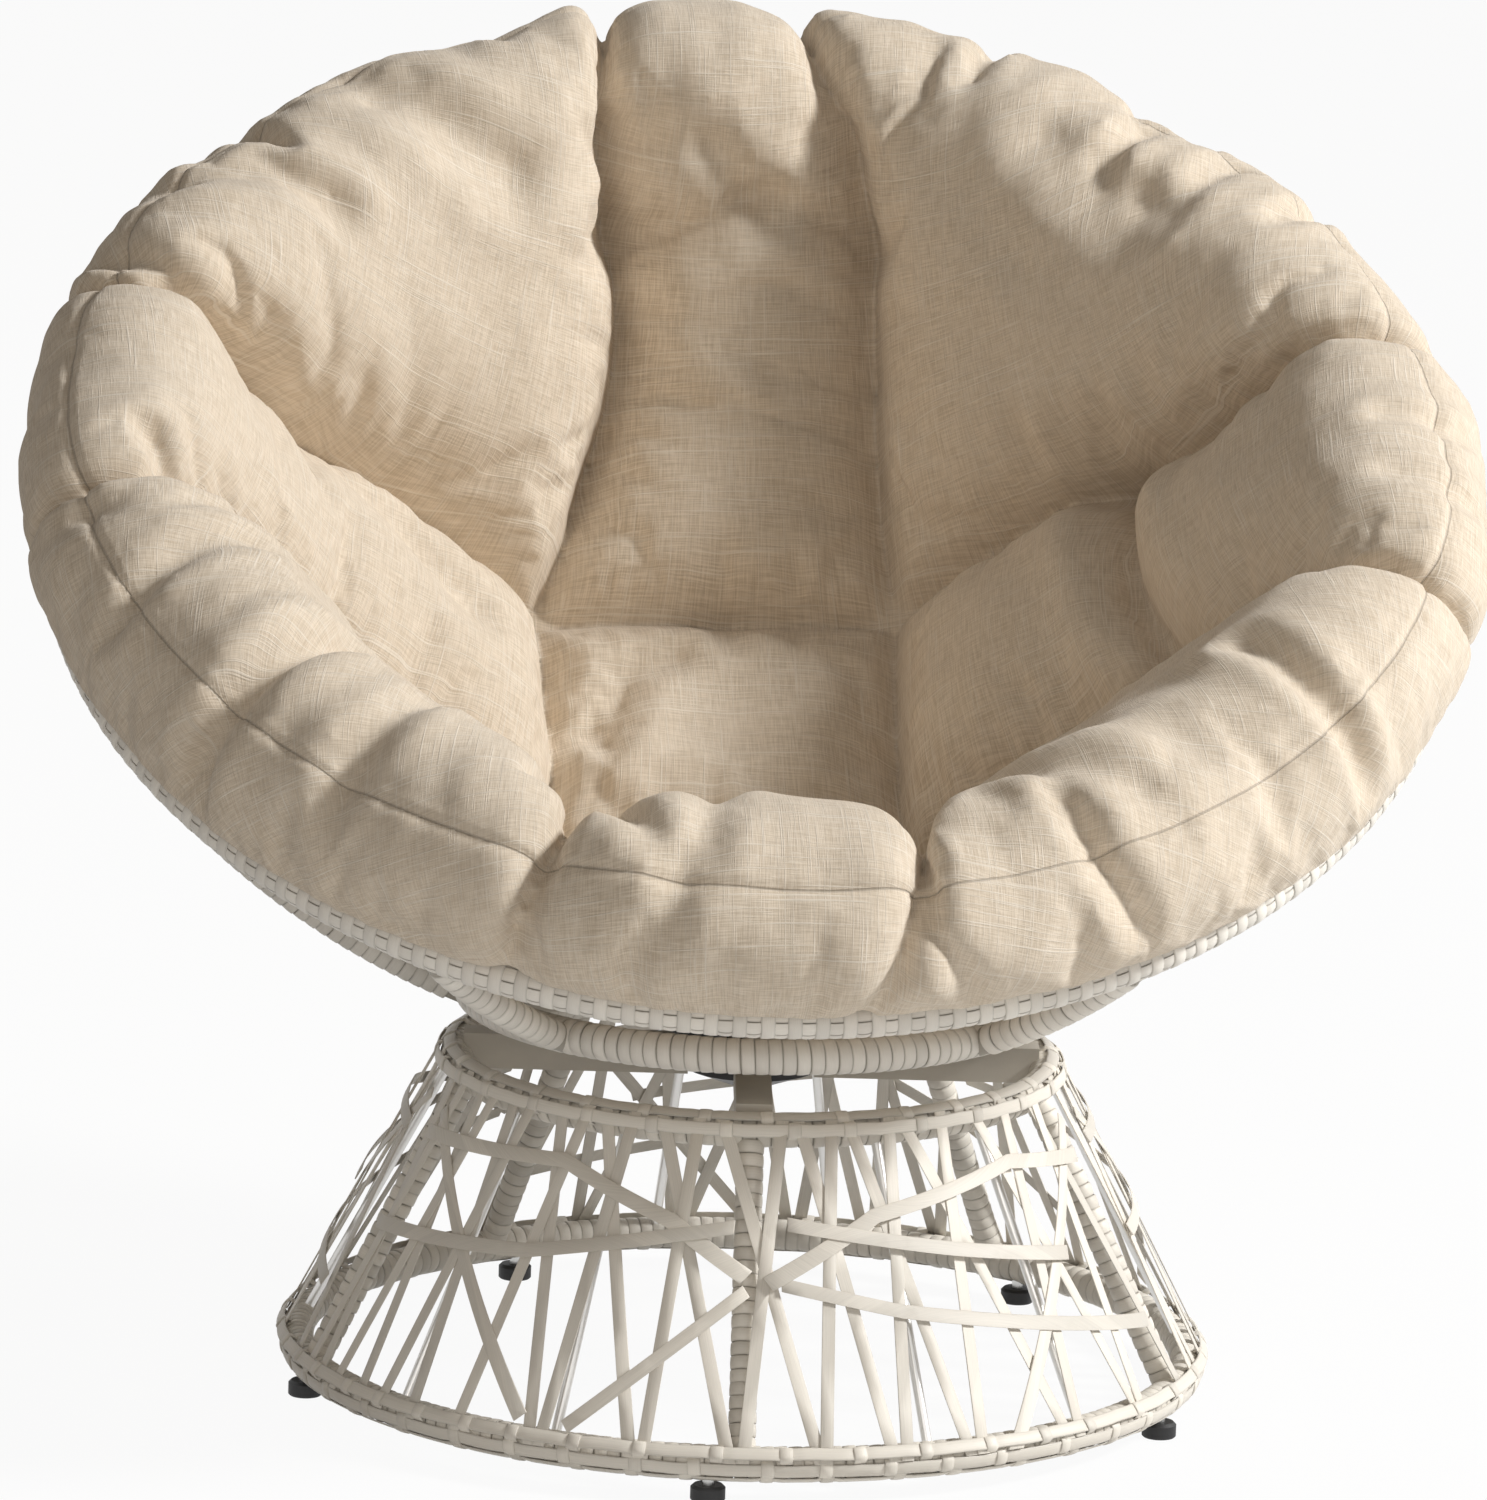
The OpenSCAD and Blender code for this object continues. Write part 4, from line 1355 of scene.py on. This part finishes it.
@dataclass(frozen=True)
class Quilting:
    """Where the round cushion is stitched and folded, in millimetres on the cloth laid flat: +Y top, +X right."""

    tufts: Line = ((112, 146), (-112, 142), (-112, -72), (104, -68))
    creases: tuple[Line, ...] = (
        ((112, 146), (108, 220), (114, 320), (120, 400), (108, 480), (84, 560), (75, 640), (74, 800)),
        ((-112, 142), (-92, 220), (-68, 300), (-72, 370), (-98, 440), (-114, 510), (-114, 560), (-112, 800)),
        ((112, 146), (190, 172), (270, 180), (345, 166), (420, 160), (530, 155), (800, 160)),
        ((-112, 142), (-190, 178), (-275, 186), (-345, 176), (-425, 190), (-530, 188), (-620, 212), (-800, 262)),
        ((104, -68), (200, -54), (300, -76), (400, -115), (500, -170), (580, -190), (800, -215)),
        ((104, -68), (112, -250), (112, -400), (106, -550), (88, -640), (60, -700), (40, -800)),
        ((-112, -72), (-128, -250), (-158, -400), (-195, -520), (-240, -600), (-290, -680), (-330, -760)),
        ((-112, -72), (-220, -54), (-330, -44), (-450, -50), (-550, -78), (-690, -100), (-800, -110)),
    )
    panel: Line = ((112, 146), (-112, 142), (-112, -72), (104, -68), (112, 146))
    folds: tuple[Fold, ...] = (
        Fold(15, 24, ((-330, 455), (-270, 440), (-215, 420))),
        Fold(13, 15, ((-520, 320), (-430, 345), (-380, 335))),
        Fold(13, 14, ((-570, 245), (-500, 195))),
        Fold(18, 20, ((-95, 390), (-30, 405), (40, 430))),
        Fold(11, 15, ((-10, 470), (40, 415))),
        Fold(10, 12, ((-77, 260), (-90, 215))),
        Fold(13, 16, ((80, 410), (130, 380))),
        Fold(18, 12, ((-540, -20), (-505, -85))),
        Fold(17, 20, ((-345, 150), (-270, 125), (-200, 75))),
        Fold(10, 22, ((300, 430), (340, 385), (375, 335))),
        Fold(9, 14, ((385, 355), (410, 325))),
        Fold(34, 22, ((290, 170), (302, 100), (310, 25), (330, -45), (338, -90))),
        Fold(8, 12, ((-610, -130), (-565, -137))),
        Fold(10, 15, ((-570, -250), (-505, -190), (-470, -170))),
        Fold(19, 19, ((-540, -420), (-460, -355), (-385, -285))),
        Fold(10, 15, ((-395, -480), (-325, -375))),
        Fold(8, 13, ((-150, -500), (-115, -575))),
        Fold(9, 15, ((-60, -460), (-85, -560), (-112, -615), (-147, -645))),
        Fold(11, 15, ((-35, 98), (-62, 82), (-82, 25))),
        Fold(14, 15, ((420, -300), (456, -357), (500, -400))),
        Fold(11, 14, ((235, -500), (255, -549), (296, -585))),
        Fold(12, 19, ((180, -430), (240, -465), (300, -486))),
        Fold(9, 13, ((106, -560), (114, -622), (153, -660))),
        Fold(10, 13, ((235, 505), (255, 570))),
        Fold(10, 12, ((350, 400), (385, 440))),
        Fold(8, 12, ((425, 350), (460, 385))),
        Fold(9, 12, ((490, 300), (540, 335))),
        Fold(9, 13, ((-420, 390), (-455, 430))),
        Fold(8, 12, ((560, 20), (615, 20))),
        Fold(9, 12, ((555, -60), (615, -75))),
    )
    seam: float = 600.0


@dataclass(frozen=True)
class Stuffing:
    """How the cloth gives when the stuffing presses on it."""

    pressure: float = 4.0
    spare: float = 0.055
    mass: float = 0.3
    stretch: float = 12.0
    shear: float = 4.0
    bending: float = 0.25
    quality: int = 5
    cap: float = 0.013
    frames: int = 20

    def press(self, piece: bpy.types.Object, pins: str) -> None:
        """Runs the cloth on a piece, up to its last frame.

        Args:
            piece: the closed form.
            pins: the vertex group that the stitches hold.
        """
        cloth = piece.modifiers.new("stuffing", "CLOTH")
        given = cloth.settings
        given.quality, given.mass = self.quality, self.mass
        given.tension_stiffness = given.compression_stiffness = self.stretch
        given.shear_stiffness, given.bending_stiffness = self.shear, self.bending
        given.use_pressure, given.uniform_pressure_force = True, self.pressure
        given.shrink_min = -self.spare
        given.vertex_group_mass = pins
        given.effector_weights.gravity = 0.0
        cloth.collision_settings.use_collision = cloth.collision_settings.use_self_collision = False
        cloth.point_cache.frame_start, cloth.point_cache.frame_end = 1, self.frames
        for number in range(1, self.frames + 1):
            bpy.context.scene.frame_set(number)


@dataclass
class Cushion:
    """Deep tufted cushion: eight stuffed lobes round a square seat, rolled over the rim.

    Sizes are in metres. Its own frame has its origin on the rim's axis, depth above the rim. inner and outer are the
    radii of the hollow and the back, ring and roll are the middle and the radius of the rolled edge, ledge is the
    height of the face on the rim, and sole is the lowest height in the chair's frame. A zone is where a change starts
    along the cloth and how wide it is. A pin holds what is nearer to a stitch and lower than its two numbers.
    """

    depth: float = 0.255
    inner: float = 0.4250
    outer: float = 0.5342
    ring: tuple[float, float] = (0.450, -0.205)
    roll: float = 0.068
    ledge: float = -0.2402
    sole: float = 0.2998
    valley: float = 0.082
    lip_valley: float = 0.046
    loft: float = 1.3
    full: float = 0.115
    lip_full: float = 0.046
    hollow_extra: Lobes = ((178, 22, 0.25), (2, 22, 0.2), (-92, 20, 0.2))
    lip_extra: Lobes = ((91, 8, 0.3), (-92, 12, 0.2))
    panel_rise: float = 0.006
    bulge: float = 0.002
    seat_share: float = 0.68
    web: float = 0.016
    groove: float = 0.021
    groove_width: float = 0.0085
    voxel: float = 0.0068
    reach: float = 0.80
    rounding: float = 0.6
    lip_zone: tuple[float, float] = (0.40, 0.18)
    hem_zone: tuple[float, float] = (0.655, 0.05)
    seat_half: float = 0.118
    seat_middle: float = 0.037
    seat_soft: float = 0.03
    tuft_pull: float = 0.010
    tuft_spread: float = 0.024
    seam_height: float = 0.0006
    seam_depth: float = 0.0022
    around: int = 420
    membranes: tuple[tuple[int, int], ...] = ((81, 900), (161, 400), (321, 160))
    unevenness: Lobes = ((0.19, 0.0030, 5), (0.085, 0.0012, 6), (0.042, 0.0005, 6))
    pinned: tuple[float, float] = (0.011, -0.026)
    half_pinned: tuple[float, float] = (0.016, -0.018)
    turned_under: float = 0.70
    quilting: Quilting = field(default_factory=Quilting)
    stuffing: Stuffing = field(default_factory=Stuffing)
    frame: Matrix = field(init=False)
    lofts: np.ndarray = field(init=False)
    slopes: Sequence[np.ndarray] = field(init=False)

    @property
    def join(self) -> float:
        """Where the hollow meets the roll, as an angle from the axis."""
        return math.atan2(self.ring[0], -self.ring[1])

    @property
    def roll_start(self) -> float:
        """Where the roll starts, as an angle round its own middle."""
        return math.pi - math.atan2(-self.ring[1], self.ring[0])

    def _local(self, points: np.ndarray) -> np.ndarray:
        """Gives points in the cushion's own frame, from points in the chair's."""
        inverse = np.array(self.frame.inverted())
        return points @ inverse[:3, :3].T + inverse[:3, 3]

    def build(self, finishes: Finishes) -> bpy.types.Object:
        """Builds the cushion.

        Args:
            finishes: the chair's finishes.

        Returns:
            The cushion.
        """
        self.frame = Hoop.tilted("rim_hoop").frame @ Matrix.Translation((0, 0, self.depth))
        self.lofts = self._inflate()
        self.slopes = np.gradient(self.lofts, 2 * self.reach / (self.lofts.shape[0] - 1))
        piece = self._remeshed(self._body())
        log.info("cushion form ready")
        piece = self._stuffed(piece)
        log.info("cushion stuffed")
        return self._finish(piece, finishes)

    def _section(self) -> np.ndarray:
        """Gives the section from the middle of the hollow, over the roll and back under to the middle.

        Returns:
            Rows of distance from the axis, height, and place along the section.
        """
        points = []
        hollow, over, flat, back = 110, 45, 5, 60
        start = math.hypot(*self.ring) - self.roll
        for i in range(hollow):
            t = self.join * i / hollow
            r = self.inner + (start - self.inner) * (i / hollow) ** 4
            points.append((r * math.sin(t), -r * math.cos(t)))
        first = self.roll_start
        last = math.asin((self.ledge - self.ring[1]) / self.roll)
        for i in range(over + 1):
            t = first + (last - first) * i / over
            points.append((self.ring[0] + self.roll * math.cos(t), self.ring[1] + self.roll * math.sin(t)))
        edge = math.sqrt(self.outer**2 - self.ledge**2)
        first_flat = points[-1][0]
        for i in range(1, flat + 1):
            points.append((first_flat + (edge - first_flat) * i / flat, self.ledge))
        low = math.asin(edge / self.outer)
        for i in range(1, back + 1):
            t = low * (1 - i / back)
            points.append((self.outer * math.sin(t), -self.outer * math.cos(t)))
        rows = np.array(points)
        steps = np.hypot(*np.diff(rows, axis=0).T)
        return np.column_stack([rows, np.concatenate([[0.0], np.cumsum(steps)])])

    def _lines(self) -> list[np.ndarray]:
        """Smooths the stitched lines and fills them with points.

        Returns:
            Points of each line in metres, about 2 mm apart; the panel's outline, left straight, is the last.
        """
        dense = []
        for line in (*self.quilting.creases, self.quilting.panel):
            raw = np.array(line, dtype=float) / 1000
            smooth = raw
            for _ in range(2 if line is not self.quilting.panel else 0):
                cut = np.empty((2 * (len(smooth) - 1), 2))
                cut[0::2] = smooth[:-1] * 0.75 + smooth[1:] * 0.25
                cut[1::2] = smooth[:-1] * 0.25 + smooth[1:] * 0.75
                smooth = np.vstack([raw[:1], cut, raw[-1:]])
            parts = []
            for a, b in zip(smooth[:-1], smooth[1:]):
                n = max(2, int(np.hypot(*(b - a)) / 0.002))
                parts.append(a + (b - a) * np.linspace(0, 1, n, endpoint=False)[:, None])
            dense.append(np.vstack(parts))
        return dense

    def _inflate(self) -> np.ndarray:
        """Finds how full the stuffing is, as a membrane held at the stitched lines.

        Returns:
            A square grid over the cloth laid flat: nought on the lines, rounding off towards the middle of a lobe.
        """
        lines = self._lines()
        lift = None
        for size, rounds in self.membranes:
            cell = 2 * self.reach / (size - 1)
            held = np.zeros((size, size), dtype=bool)
            level = np.zeros((size, size))
            for number, line in enumerate(lines):
                ij = np.clip(np.round((line + self.reach) / cell).astype(int), 0, size - 1)
                if number == len(lines) - 1:
                    ij = ij[~held[ij[:, 1], ij[:, 0]]]
                    level[ij[:, 1], ij[:, 0]] = (self.panel_rise / self.loft) ** (1 / self.rounding) / 2
                held[ij[:, 1], ij[:, 0]] = True
            if lift is None:
                lift = np.zeros((size, size))
            else:
                old = np.arange(lift.shape[0])
                new = np.linspace(0, lift.shape[0] - 1, size)
                lift = np.array([np.interp(new, old, row) for row in lift])
                lift = np.array([np.interp(new, old, column) for column in lift.T]).T
            lift[held] = level[held]
            for _ in range(rounds):
                wide = np.pad(lift, 1, mode="edge")
                lift = 0.25 * (wide[:-2, 1:-1] + wide[2:, 1:-1] + wide[1:-1, :-2] + wide[1:-1, 2:] + cell * cell)
                lift[held] = level[held]
        return (2.0 * np.maximum(lift, 0.0)) ** self.rounding

    def _sample(self, grid: np.ndarray, x: np.ndarray, y: np.ndarray) -> np.ndarray:
        """Reads a grid over the flat cloth at points of it.

        Args:
            grid: the square grid.
            x: places across the flat cloth.
            y: places up the flat cloth.

        Returns:
            The grid's values there.
        """
        size = grid.shape[0]
        i = np.clip((x + self.reach) / (2 * self.reach) * (size - 1), 0, size - 1.001)
        j = np.clip((y + self.reach) / (2 * self.reach) * (size - 1), 0, size - 1.001)
        i0, j0 = i.astype(int), j.astype(int)
        fi, fj = i - i0, j - j0
        low = grid[j0, i0] * (1 - fi) + grid[j0, i0 + 1] * fi
        return low * (1 - fj) + (grid[j0 + 1, i0] * (1 - fi) + grid[j0 + 1, i0 + 1] * fi) * fj

    @staticmethod
    def _ripple(t: np.ndarray, seed: float) -> np.ndarray:
        """Gives an uneven ripple along a seam, within about plus or minus 1."""
        waves = ((0.052, 0.50), (0.037, 0.45), (0.083, 0.55), (0.026, 0.25))
        return sum(a * np.sin(math.tau * t / length + seed * (k + 1.7)) for k, (length, a) in enumerate(waves))

    def _nearest(self, x: np.ndarray, y: np.ndarray) -> tuple[np.ndarray, np.ndarray]:
        """Finds the nearest stitched line.

        Args:
            x: places across the flat cloth.
            y: places up the flat cloth.

        Returns:
            How far it is, and how far along the lines its nearest point lies.
        """
        points = np.vstack(self._lines())
        tree = KDTree(len(points))
        for number, (px, py) in enumerate(points):
            tree.insert((px, py, 0.0), number)
        tree.balance()
        found = [tree.find((px, py, 0.0))[1:] for px, py in zip(x.ravel(), y.ravel())]
        number, distance = np.array(found).T
        return distance.reshape(x.shape), number.reshape(x.shape) * 0.002

    def _relief(self, x: np.ndarray, y: np.ndarray, s: np.ndarray) -> np.ndarray:
        """Gives the folds, puckers and unevenness of the stuffed cloth.

        Args:
            x: places across the flat cloth.
            y: places up the flat cloth.
            s: distance from its middle.

        Returns:
            Heights in metres.
        """
        relief = np.zeros_like(x)
        for fold in self.quilting.folds:
            line = np.array(fold.line, dtype=float) / 1000
            near = np.full(x.shape, 9.0)
            for (ax, ay), (bx, by) in zip(line[:-1], line[1:]):
                t = ((x - ax) * (bx - ax) + (y - ay) * (by - ay)) / ((bx - ax) ** 2 + (by - ay) ** 2)
                t = np.clip(t, 0, 1)
                near = np.minimum(near, np.hypot(x - ax - t * (bx - ax), y - ay - t * (by - ay)))
            u = near / (fold.width / 1000)
            relief += fold.depth / 1000 * (0.28 * np.exp(-(((u - 2.0) / 0.9) ** 2)) - np.exp(-u * u))
        distance, along = self._nearest(x, y)
        relief += 0.0014 * self._ripple(along, 2.0) * np.exp(-(((distance - 0.026) / 0.02) ** 2))
        turn = np.arctan2(y, x)
        seam = s - self.quilting.seam / 1000
        relief += 0.0010 * self._ripple(turn * 0.6, 5.0) * np.exp(-((seam / 0.034) ** 2))
        relief -= 0.003 * np.exp(-((seam / 0.007) ** 2))
        chance = random.Random(5)
        for length, height, count in self.unevenness:
            for _ in range(count):
                lean, phase = chance.uniform(0, math.tau), chance.uniform(0, math.tau)
                wave = math.tau / (length * chance.uniform(0.8, 1.25))
                relief += height / math.sqrt(count) * np.sin(wave * (x * math.cos(lean) + y * math.sin(lean)) + phase)
        return relief

    @staticmethod
    def _extra(angle: np.ndarray, lobes: Lobes) -> np.ndarray:
        """Gives how much fuller than the membrane the cloth is.

        Args:
            angle: places round the cushion, in radians.
            lobes: the middle and spread of each fuller lobe in degrees, and how much fuller it is.

        Returns:
            Factors for the membrane's height.
        """
        gain = np.ones_like(angle)
        for middle, spread, extra in lobes:
            off = (np.degrees(angle) - middle + 180) % 360 - 180
            gain = gain + extra * np.exp(-((off / spread) ** 2))
        return gain

    def _body(self) -> bpy.types.Object:
        """Makes the closed, quilted body on a round grid.

        Returns:
            The body, in the chair's frame.
        """
        section, around = self._section(), self.around
        angle = (math.tau * np.arange(around) / around)[None, :]
        tangent = np.gradient(section[:, :2], axis=0)
        tangent /= np.linalg.norm(tangent, axis=1)[:, None]
        r, z, s = (column[1:-1, None] for column in section.T)
        tr, tz = tangent[1:-1, :1], tangent[1:-1, 1:]
        x, y = s * np.cos(angle), s * np.sin(angle)
        round_off = self._sample(self.lofts, x, y)
        lip = np.clip((s - self.lip_zone[0]) / self.lip_zone[1], 0, 1)
        lip = lip * lip * (3 - 2 * lip)
        valley = self.valley + (self.lip_valley - self.valley) * lip
        hollow = self.full * np.tanh(self.loft * round_off * self._extra(angle, self.hollow_extra) / self.full)
        edge = self.lip_full * np.tanh(self.loft * round_off / self.lip_full) * self._extra(angle, self.lip_extra)
        from_middle = np.maximum(np.abs(x), np.abs(y - self.seat_middle))
        seat = np.clip((self.seat_half - from_middle) / self.seat_soft, 0, 1)
        lift = hollow * (1 - (1 - self.seat_share) * seat) * (1 - lip) + edge * lip
        tufts = np.array(self.quilting.tufts) / 1000
        from_tuft = np.min([np.hypot(x - tx, y - ty) for tx, ty in tufts], axis=0)
        pull = self.tuft_pull * np.exp(-(from_tuft**2) / self.tuft_spread**2)
        h = np.maximum(lift - valley - pull + self._relief(x, y, s), self.inner - self.outer + self.web)
        fade = np.clip((s - self.hem_zone[0]) / self.hem_zone[1], 0, 1)
        h = h * (1 - fade) + fade * np.minimum(0.0, h * 0.25)
        gy, gx = (self._sample(slope, x, y) for slope in self.slopes)
        steep = np.hypot(gx, gy) + 1e-9
        middle = np.sin(math.pi * np.clip(lift / 0.085, 0, 1))
        push = self.bulge * np.minimum(1.0, steep * self.loft) * middle * (1 - fade) / steep
        out = -(gx * np.cos(angle) + gy * np.sin(angle)) * push
        side = -(gy * np.cos(angle) - gx * np.sin(angle)) * push * r / s
        rr, zz = r - tz * h + tr * out, z + tr * h + tz * out
        px = rr * np.cos(angle) - side * np.sin(angle)
        py = rr * np.sin(angle) + side * np.cos(angle)
        points = np.stack([px, py, zz + 0 * angle], axis=2).reshape(-1, 3)
        hubs = [[0.0, 0.0, zz[0].mean()], [0.0, 0.0, section[-1, 1]]]
        points = np.vstack([points, hubs])
        frame = np.array(self.frame)
        points = points @ frame[:3, :3].T + frame[:3, 3]
        rows = len(section) - 2
        upper = np.arange(len(points)) < 150 * around
        upper[-2] = True
        points[:, 2] = np.maximum(points[:, 2], np.where(upper, self.sole + self.web, self.sole))
        faces = []
        for i in range(rows - 1):
            for k in range(around):
                a, b = i * around + k, i * around + (k + 1) % around
                faces.append((a, a + around, b + around, b))
        hub, sole = rows * around, rows * around + 1
        faces += [(hub, k, (k + 1) % around) for k in range(around)]
        faces += [(sole, (rows - 1) * around + (k + 1) % around, (rows - 1) * around + k) for k in range(around)]
        body = mesh_object("cushion_form", points, faces)
        face_outwards(body.data)
        return body

    def _remeshed(self, body: bpy.types.Object) -> bpy.types.Object:
        """Evens out the body's mesh and drops any pocket that the remesh shut in.

        Args:
            body: the quilted body, used up by this call.

        Returns:
            The evenly meshed form, in one piece.
        """
        remesh = body.modifiers.new("even", "REMESH")
        remesh.mode, remesh.voxel_size, remesh.use_smooth_shade = "VOXEL", self.voxel, True
        piece = plain_copy(body, "tufted_cushion")
        mesh = piece.data
        edges = np.empty(len(mesh.edges) * 2, dtype=np.int64)
        mesh.edges.foreach_get("vertices", edges)
        one, other = edges.reshape(-1, 2).T
        group = np.arange(len(mesh.vertices))
        while True:
            low = np.minimum(group[one], group[other])
            last = group.copy()
            np.minimum.at(group, one, low)
            np.minimum.at(group, other, low)
            group = group[group]
            if np.array_equal(group, last):
                break
        names, sizes = np.unique(group, return_counts=True)
        if len(names) > 1:
            shape = bmesh.new()
            shape.from_mesh(mesh)
            shape.verts.ensure_lookup_table()
            keep = names[sizes.argmax()]
            bmesh.ops.delete(shape, geom=[shape.verts[i] for i in np.nonzero(group != keep)[0]], context="VERTS")
            shape.to_mesh(mesh)
            shape.free()
            log.info("dropped %d shut-in pockets", len(names) - 1)
        return piece

    def _flat_places(self, points: np.ndarray) -> tuple[np.ndarray, np.ndarray]:
        """Gives where points of the cushion lie on the cloth laid flat.

        Args:
            points: points in the chair's frame.

        Returns:
            Places in metres, and heights over the plain, unquilted form.
        """
        local, join = self._local(points), self.join
        radius, z = np.hypot(local[:, 0], local[:, 1]), local[:, 2]
        turn = np.arctan2(radius, -z)
        round_roll = self.roll_start - np.arctan2(z - self.ring[1], radius - self.ring[0])
        round_roll = np.where(round_roll < -1.0, round_roll + math.tau, round_roll)
        reach = np.hypot(radius, z)
        s = np.where(turn > join, self.inner * join + self.roll * np.maximum(round_roll, 0.0), self.inner * turn)
        over_roll = np.hypot(radius - self.ring[0], z - self.ring[1]) - self.roll
        height = np.where(turn > join, over_roll, self.inner - reach)
        under = (turn < join) & ((reach > self.outer - 0.006) | (points[:, 2] < self.sole + 0.006))
        s = np.where(under, self.inner * join + self.roll * math.pi + self.outer * (join - turn), s)
        azimuth = np.arctan2(local[:, 1], local[:, 0])
        return np.column_stack([s * np.cos(azimuth), s * np.sin(azimuth)]), height

    def _stuffed(self, piece: bpy.types.Object) -> bpy.types.Object:
        """Lets the stuffing press the cloth out between its stitches, with a little more cloth than the form needs.

        Args:
            piece: the evenly meshed form, used up by this call.

        Returns:
            The stuffed cushion.
        """
        before = read_mesh(piece.data.vertices)
        flat, height = self._flat_places(before)
        distance = self._nearest(flat[:, 0], flat[:, 1])[0]
        s = np.hypot(flat[:, 0], flat[:, 1])
        stitched = (distance < self.pinned[0]) & (height < self.pinned[1])
        under = (s > self.turned_under) | (before[:, 2] < self.sole + 0.004)
        pins = piece.vertex_groups.new(name="stitched")
        pins.add([int(i) for i in np.nonzero(stitched | under)[0]], 1.0, "REPLACE")
        near = (distance < self.half_pinned[0]) & (height < self.half_pinned[1]) & ~stitched & ~under
        pins.add([int(i) for i in np.nonzero(near)[0]], 0.4, "REPLACE")
        self.stuffing.press(piece, pins.name)
        stuffed = plain_copy(piece, "tufted_cushion")
        bpy.context.scene.frame_set(1)
        move = read_mesh(stuffed.data.vertices) - before
        length = np.linalg.norm(move, axis=1)[:, None] + 1e-9
        log.info("stuffing moved the cloth by %.1f mm, at most %.1f mm", length.mean() * 1000, length.max() * 1000)
        move *= self.stuffing.cap * np.tanh(length / self.stuffing.cap) / length
        stuffed.data.vertices.foreach_set("co", (before + move).ravel())
        stuffed.data.update()
        return stuffed

    def _groove(self, flat: np.ndarray, s: np.ndarray) -> np.ndarray:
        """Gives how far the stitches draw the cloth in, beyond what the even mesh could hold.

        Args:
            flat: places on the cloth laid flat.
            s: their distance from its middle.

        Returns:
            Depths in metres.
        """
        near = s < self.turned_under
        distance = np.full(len(s), 1.0)
        distance[near] = self._nearest(flat[near, 0], flat[near, 1])[0]
        fade = np.clip((0.68 - s) / 0.08, 0, 1) * (1 - 0.35 * np.clip((s - 0.42) / 0.1, 0, 1))
        return self.groove * fade * np.exp(-distance / self.groove_width)

    def _inwards(self, points: np.ndarray) -> np.ndarray:
        """Finds the way into the stuffing.

        Args:
            points: points of the cushion in the chair's frame.

        Returns:
            Unit vectors in the chair's frame.
        """

        def unit(rows: np.ndarray) -> np.ndarray:
            """Makes rows one long."""
            return rows / (np.linalg.norm(rows, axis=1)[:, None] + 1e-9)

        local = self._local(points)
        radius = np.hypot(local[:, 0], local[:, 1]) + 1e-9
        lip = np.clip((np.arctan2(radius, -local[:, 2]) - self.join) / 0.12 + 0.5, 0, 1)[:, None]
        around = local[:, :2] / radius[:, None] * self.ring[0]
        middle = np.column_stack([around, np.full(len(radius), self.ring[1])])
        way = unit(unit(local) * (1 - lip) + unit(middle - local) * lip)
        return way @ np.array(self.frame)[:3, :3].T

    def _finish(self, piece: bpy.types.Object, finishes: Finishes) -> bpy.types.Object:
        """Args:
            piece: the stuffed cushion, used up by this call.
            finishes: the chair's finishes.

        Returns:
            The finished cushion.
        """
        piece.data.materials.clear()
        piece.data.materials.append(finishes.linen)
        finer = piece.modifiers.new("finer", "SUBSURF")
        finer.levels = finer.render_levels = 1
        piece = plain_copy(piece, "tufted_cushion")
        mesh = piece.data
        shade_smooth(mesh)
        points, normals = read_mesh(mesh.vertices), read_mesh(mesh.vertices, "normal")
        flat, height = self._flat_places(points)
        s = np.hypot(flat[:, 0], flat[:, 1])
        way = self._inwards(points)
        thick = self.outer - self.inner
        below = np.where(s < self.inner * self.join, height + thick - 0.010, height + self.roll - 0.006)
        room = np.minimum(below, (points[:, 2] - self.sole - 0.010) / np.maximum(0.05, -way[:, 2]))
        points += way * np.minimum(self._groove(flat, s), np.maximum(room, 0.0))[:, None]
        off = s - self.quilting.seam / 1000
        ridge = self.seam_height * np.exp(-(((off + 0.005) / 0.004) ** 2))
        ditch = self.seam_depth * np.exp(-((off / 0.0035) ** 2))
        points += normals * (ridge - ditch)[:, None]
        mesh.vertices.foreach_set("co", points.ravel())
        write_value(mesh, SEAM, off)
        write_uv(mesh, CLOTH_UV, flat[corner_vertices(mesh)])
        mesh.update()
        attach(piece, Body.BOWL.value)
        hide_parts("cushion")
        report(piece, Body.BOWL)
        return piece


# Frame nodes that stay
# ====================


def dress_frame(frame: dict, finishes: Finishes) -> None:
    """Gives every remaining node the finish of its slot.

    Args:
        finishes: the chair's finishes.
    """
    slots = {part["node"]: part["material_slot"] for part in frame["record"]["subparts"]}
    for name, obj in frame["nodes"].items():
        mat = finishes.hard.get(slots[name], finishes.strand if slots[name] == "wicker" else finishes.linen)
        for material_slot in obj.material_slots:
            material_slot.material = mat


def main() -> None:
    """Builds the looks round the frame."""
    logging.basicConfig(level=logging.INFO, format="%(name)s: %(message)s")
    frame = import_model()
    Studio().build()
    finishes = Finishes()
    dress_frame(frame, finishes)
    tree = WindingTree()
    DrumBase(tree, finishes).build()
    Bowl(tree, finishes).build()
    Cushion().build(finishes)


if __name__ == "__main__":
    main()
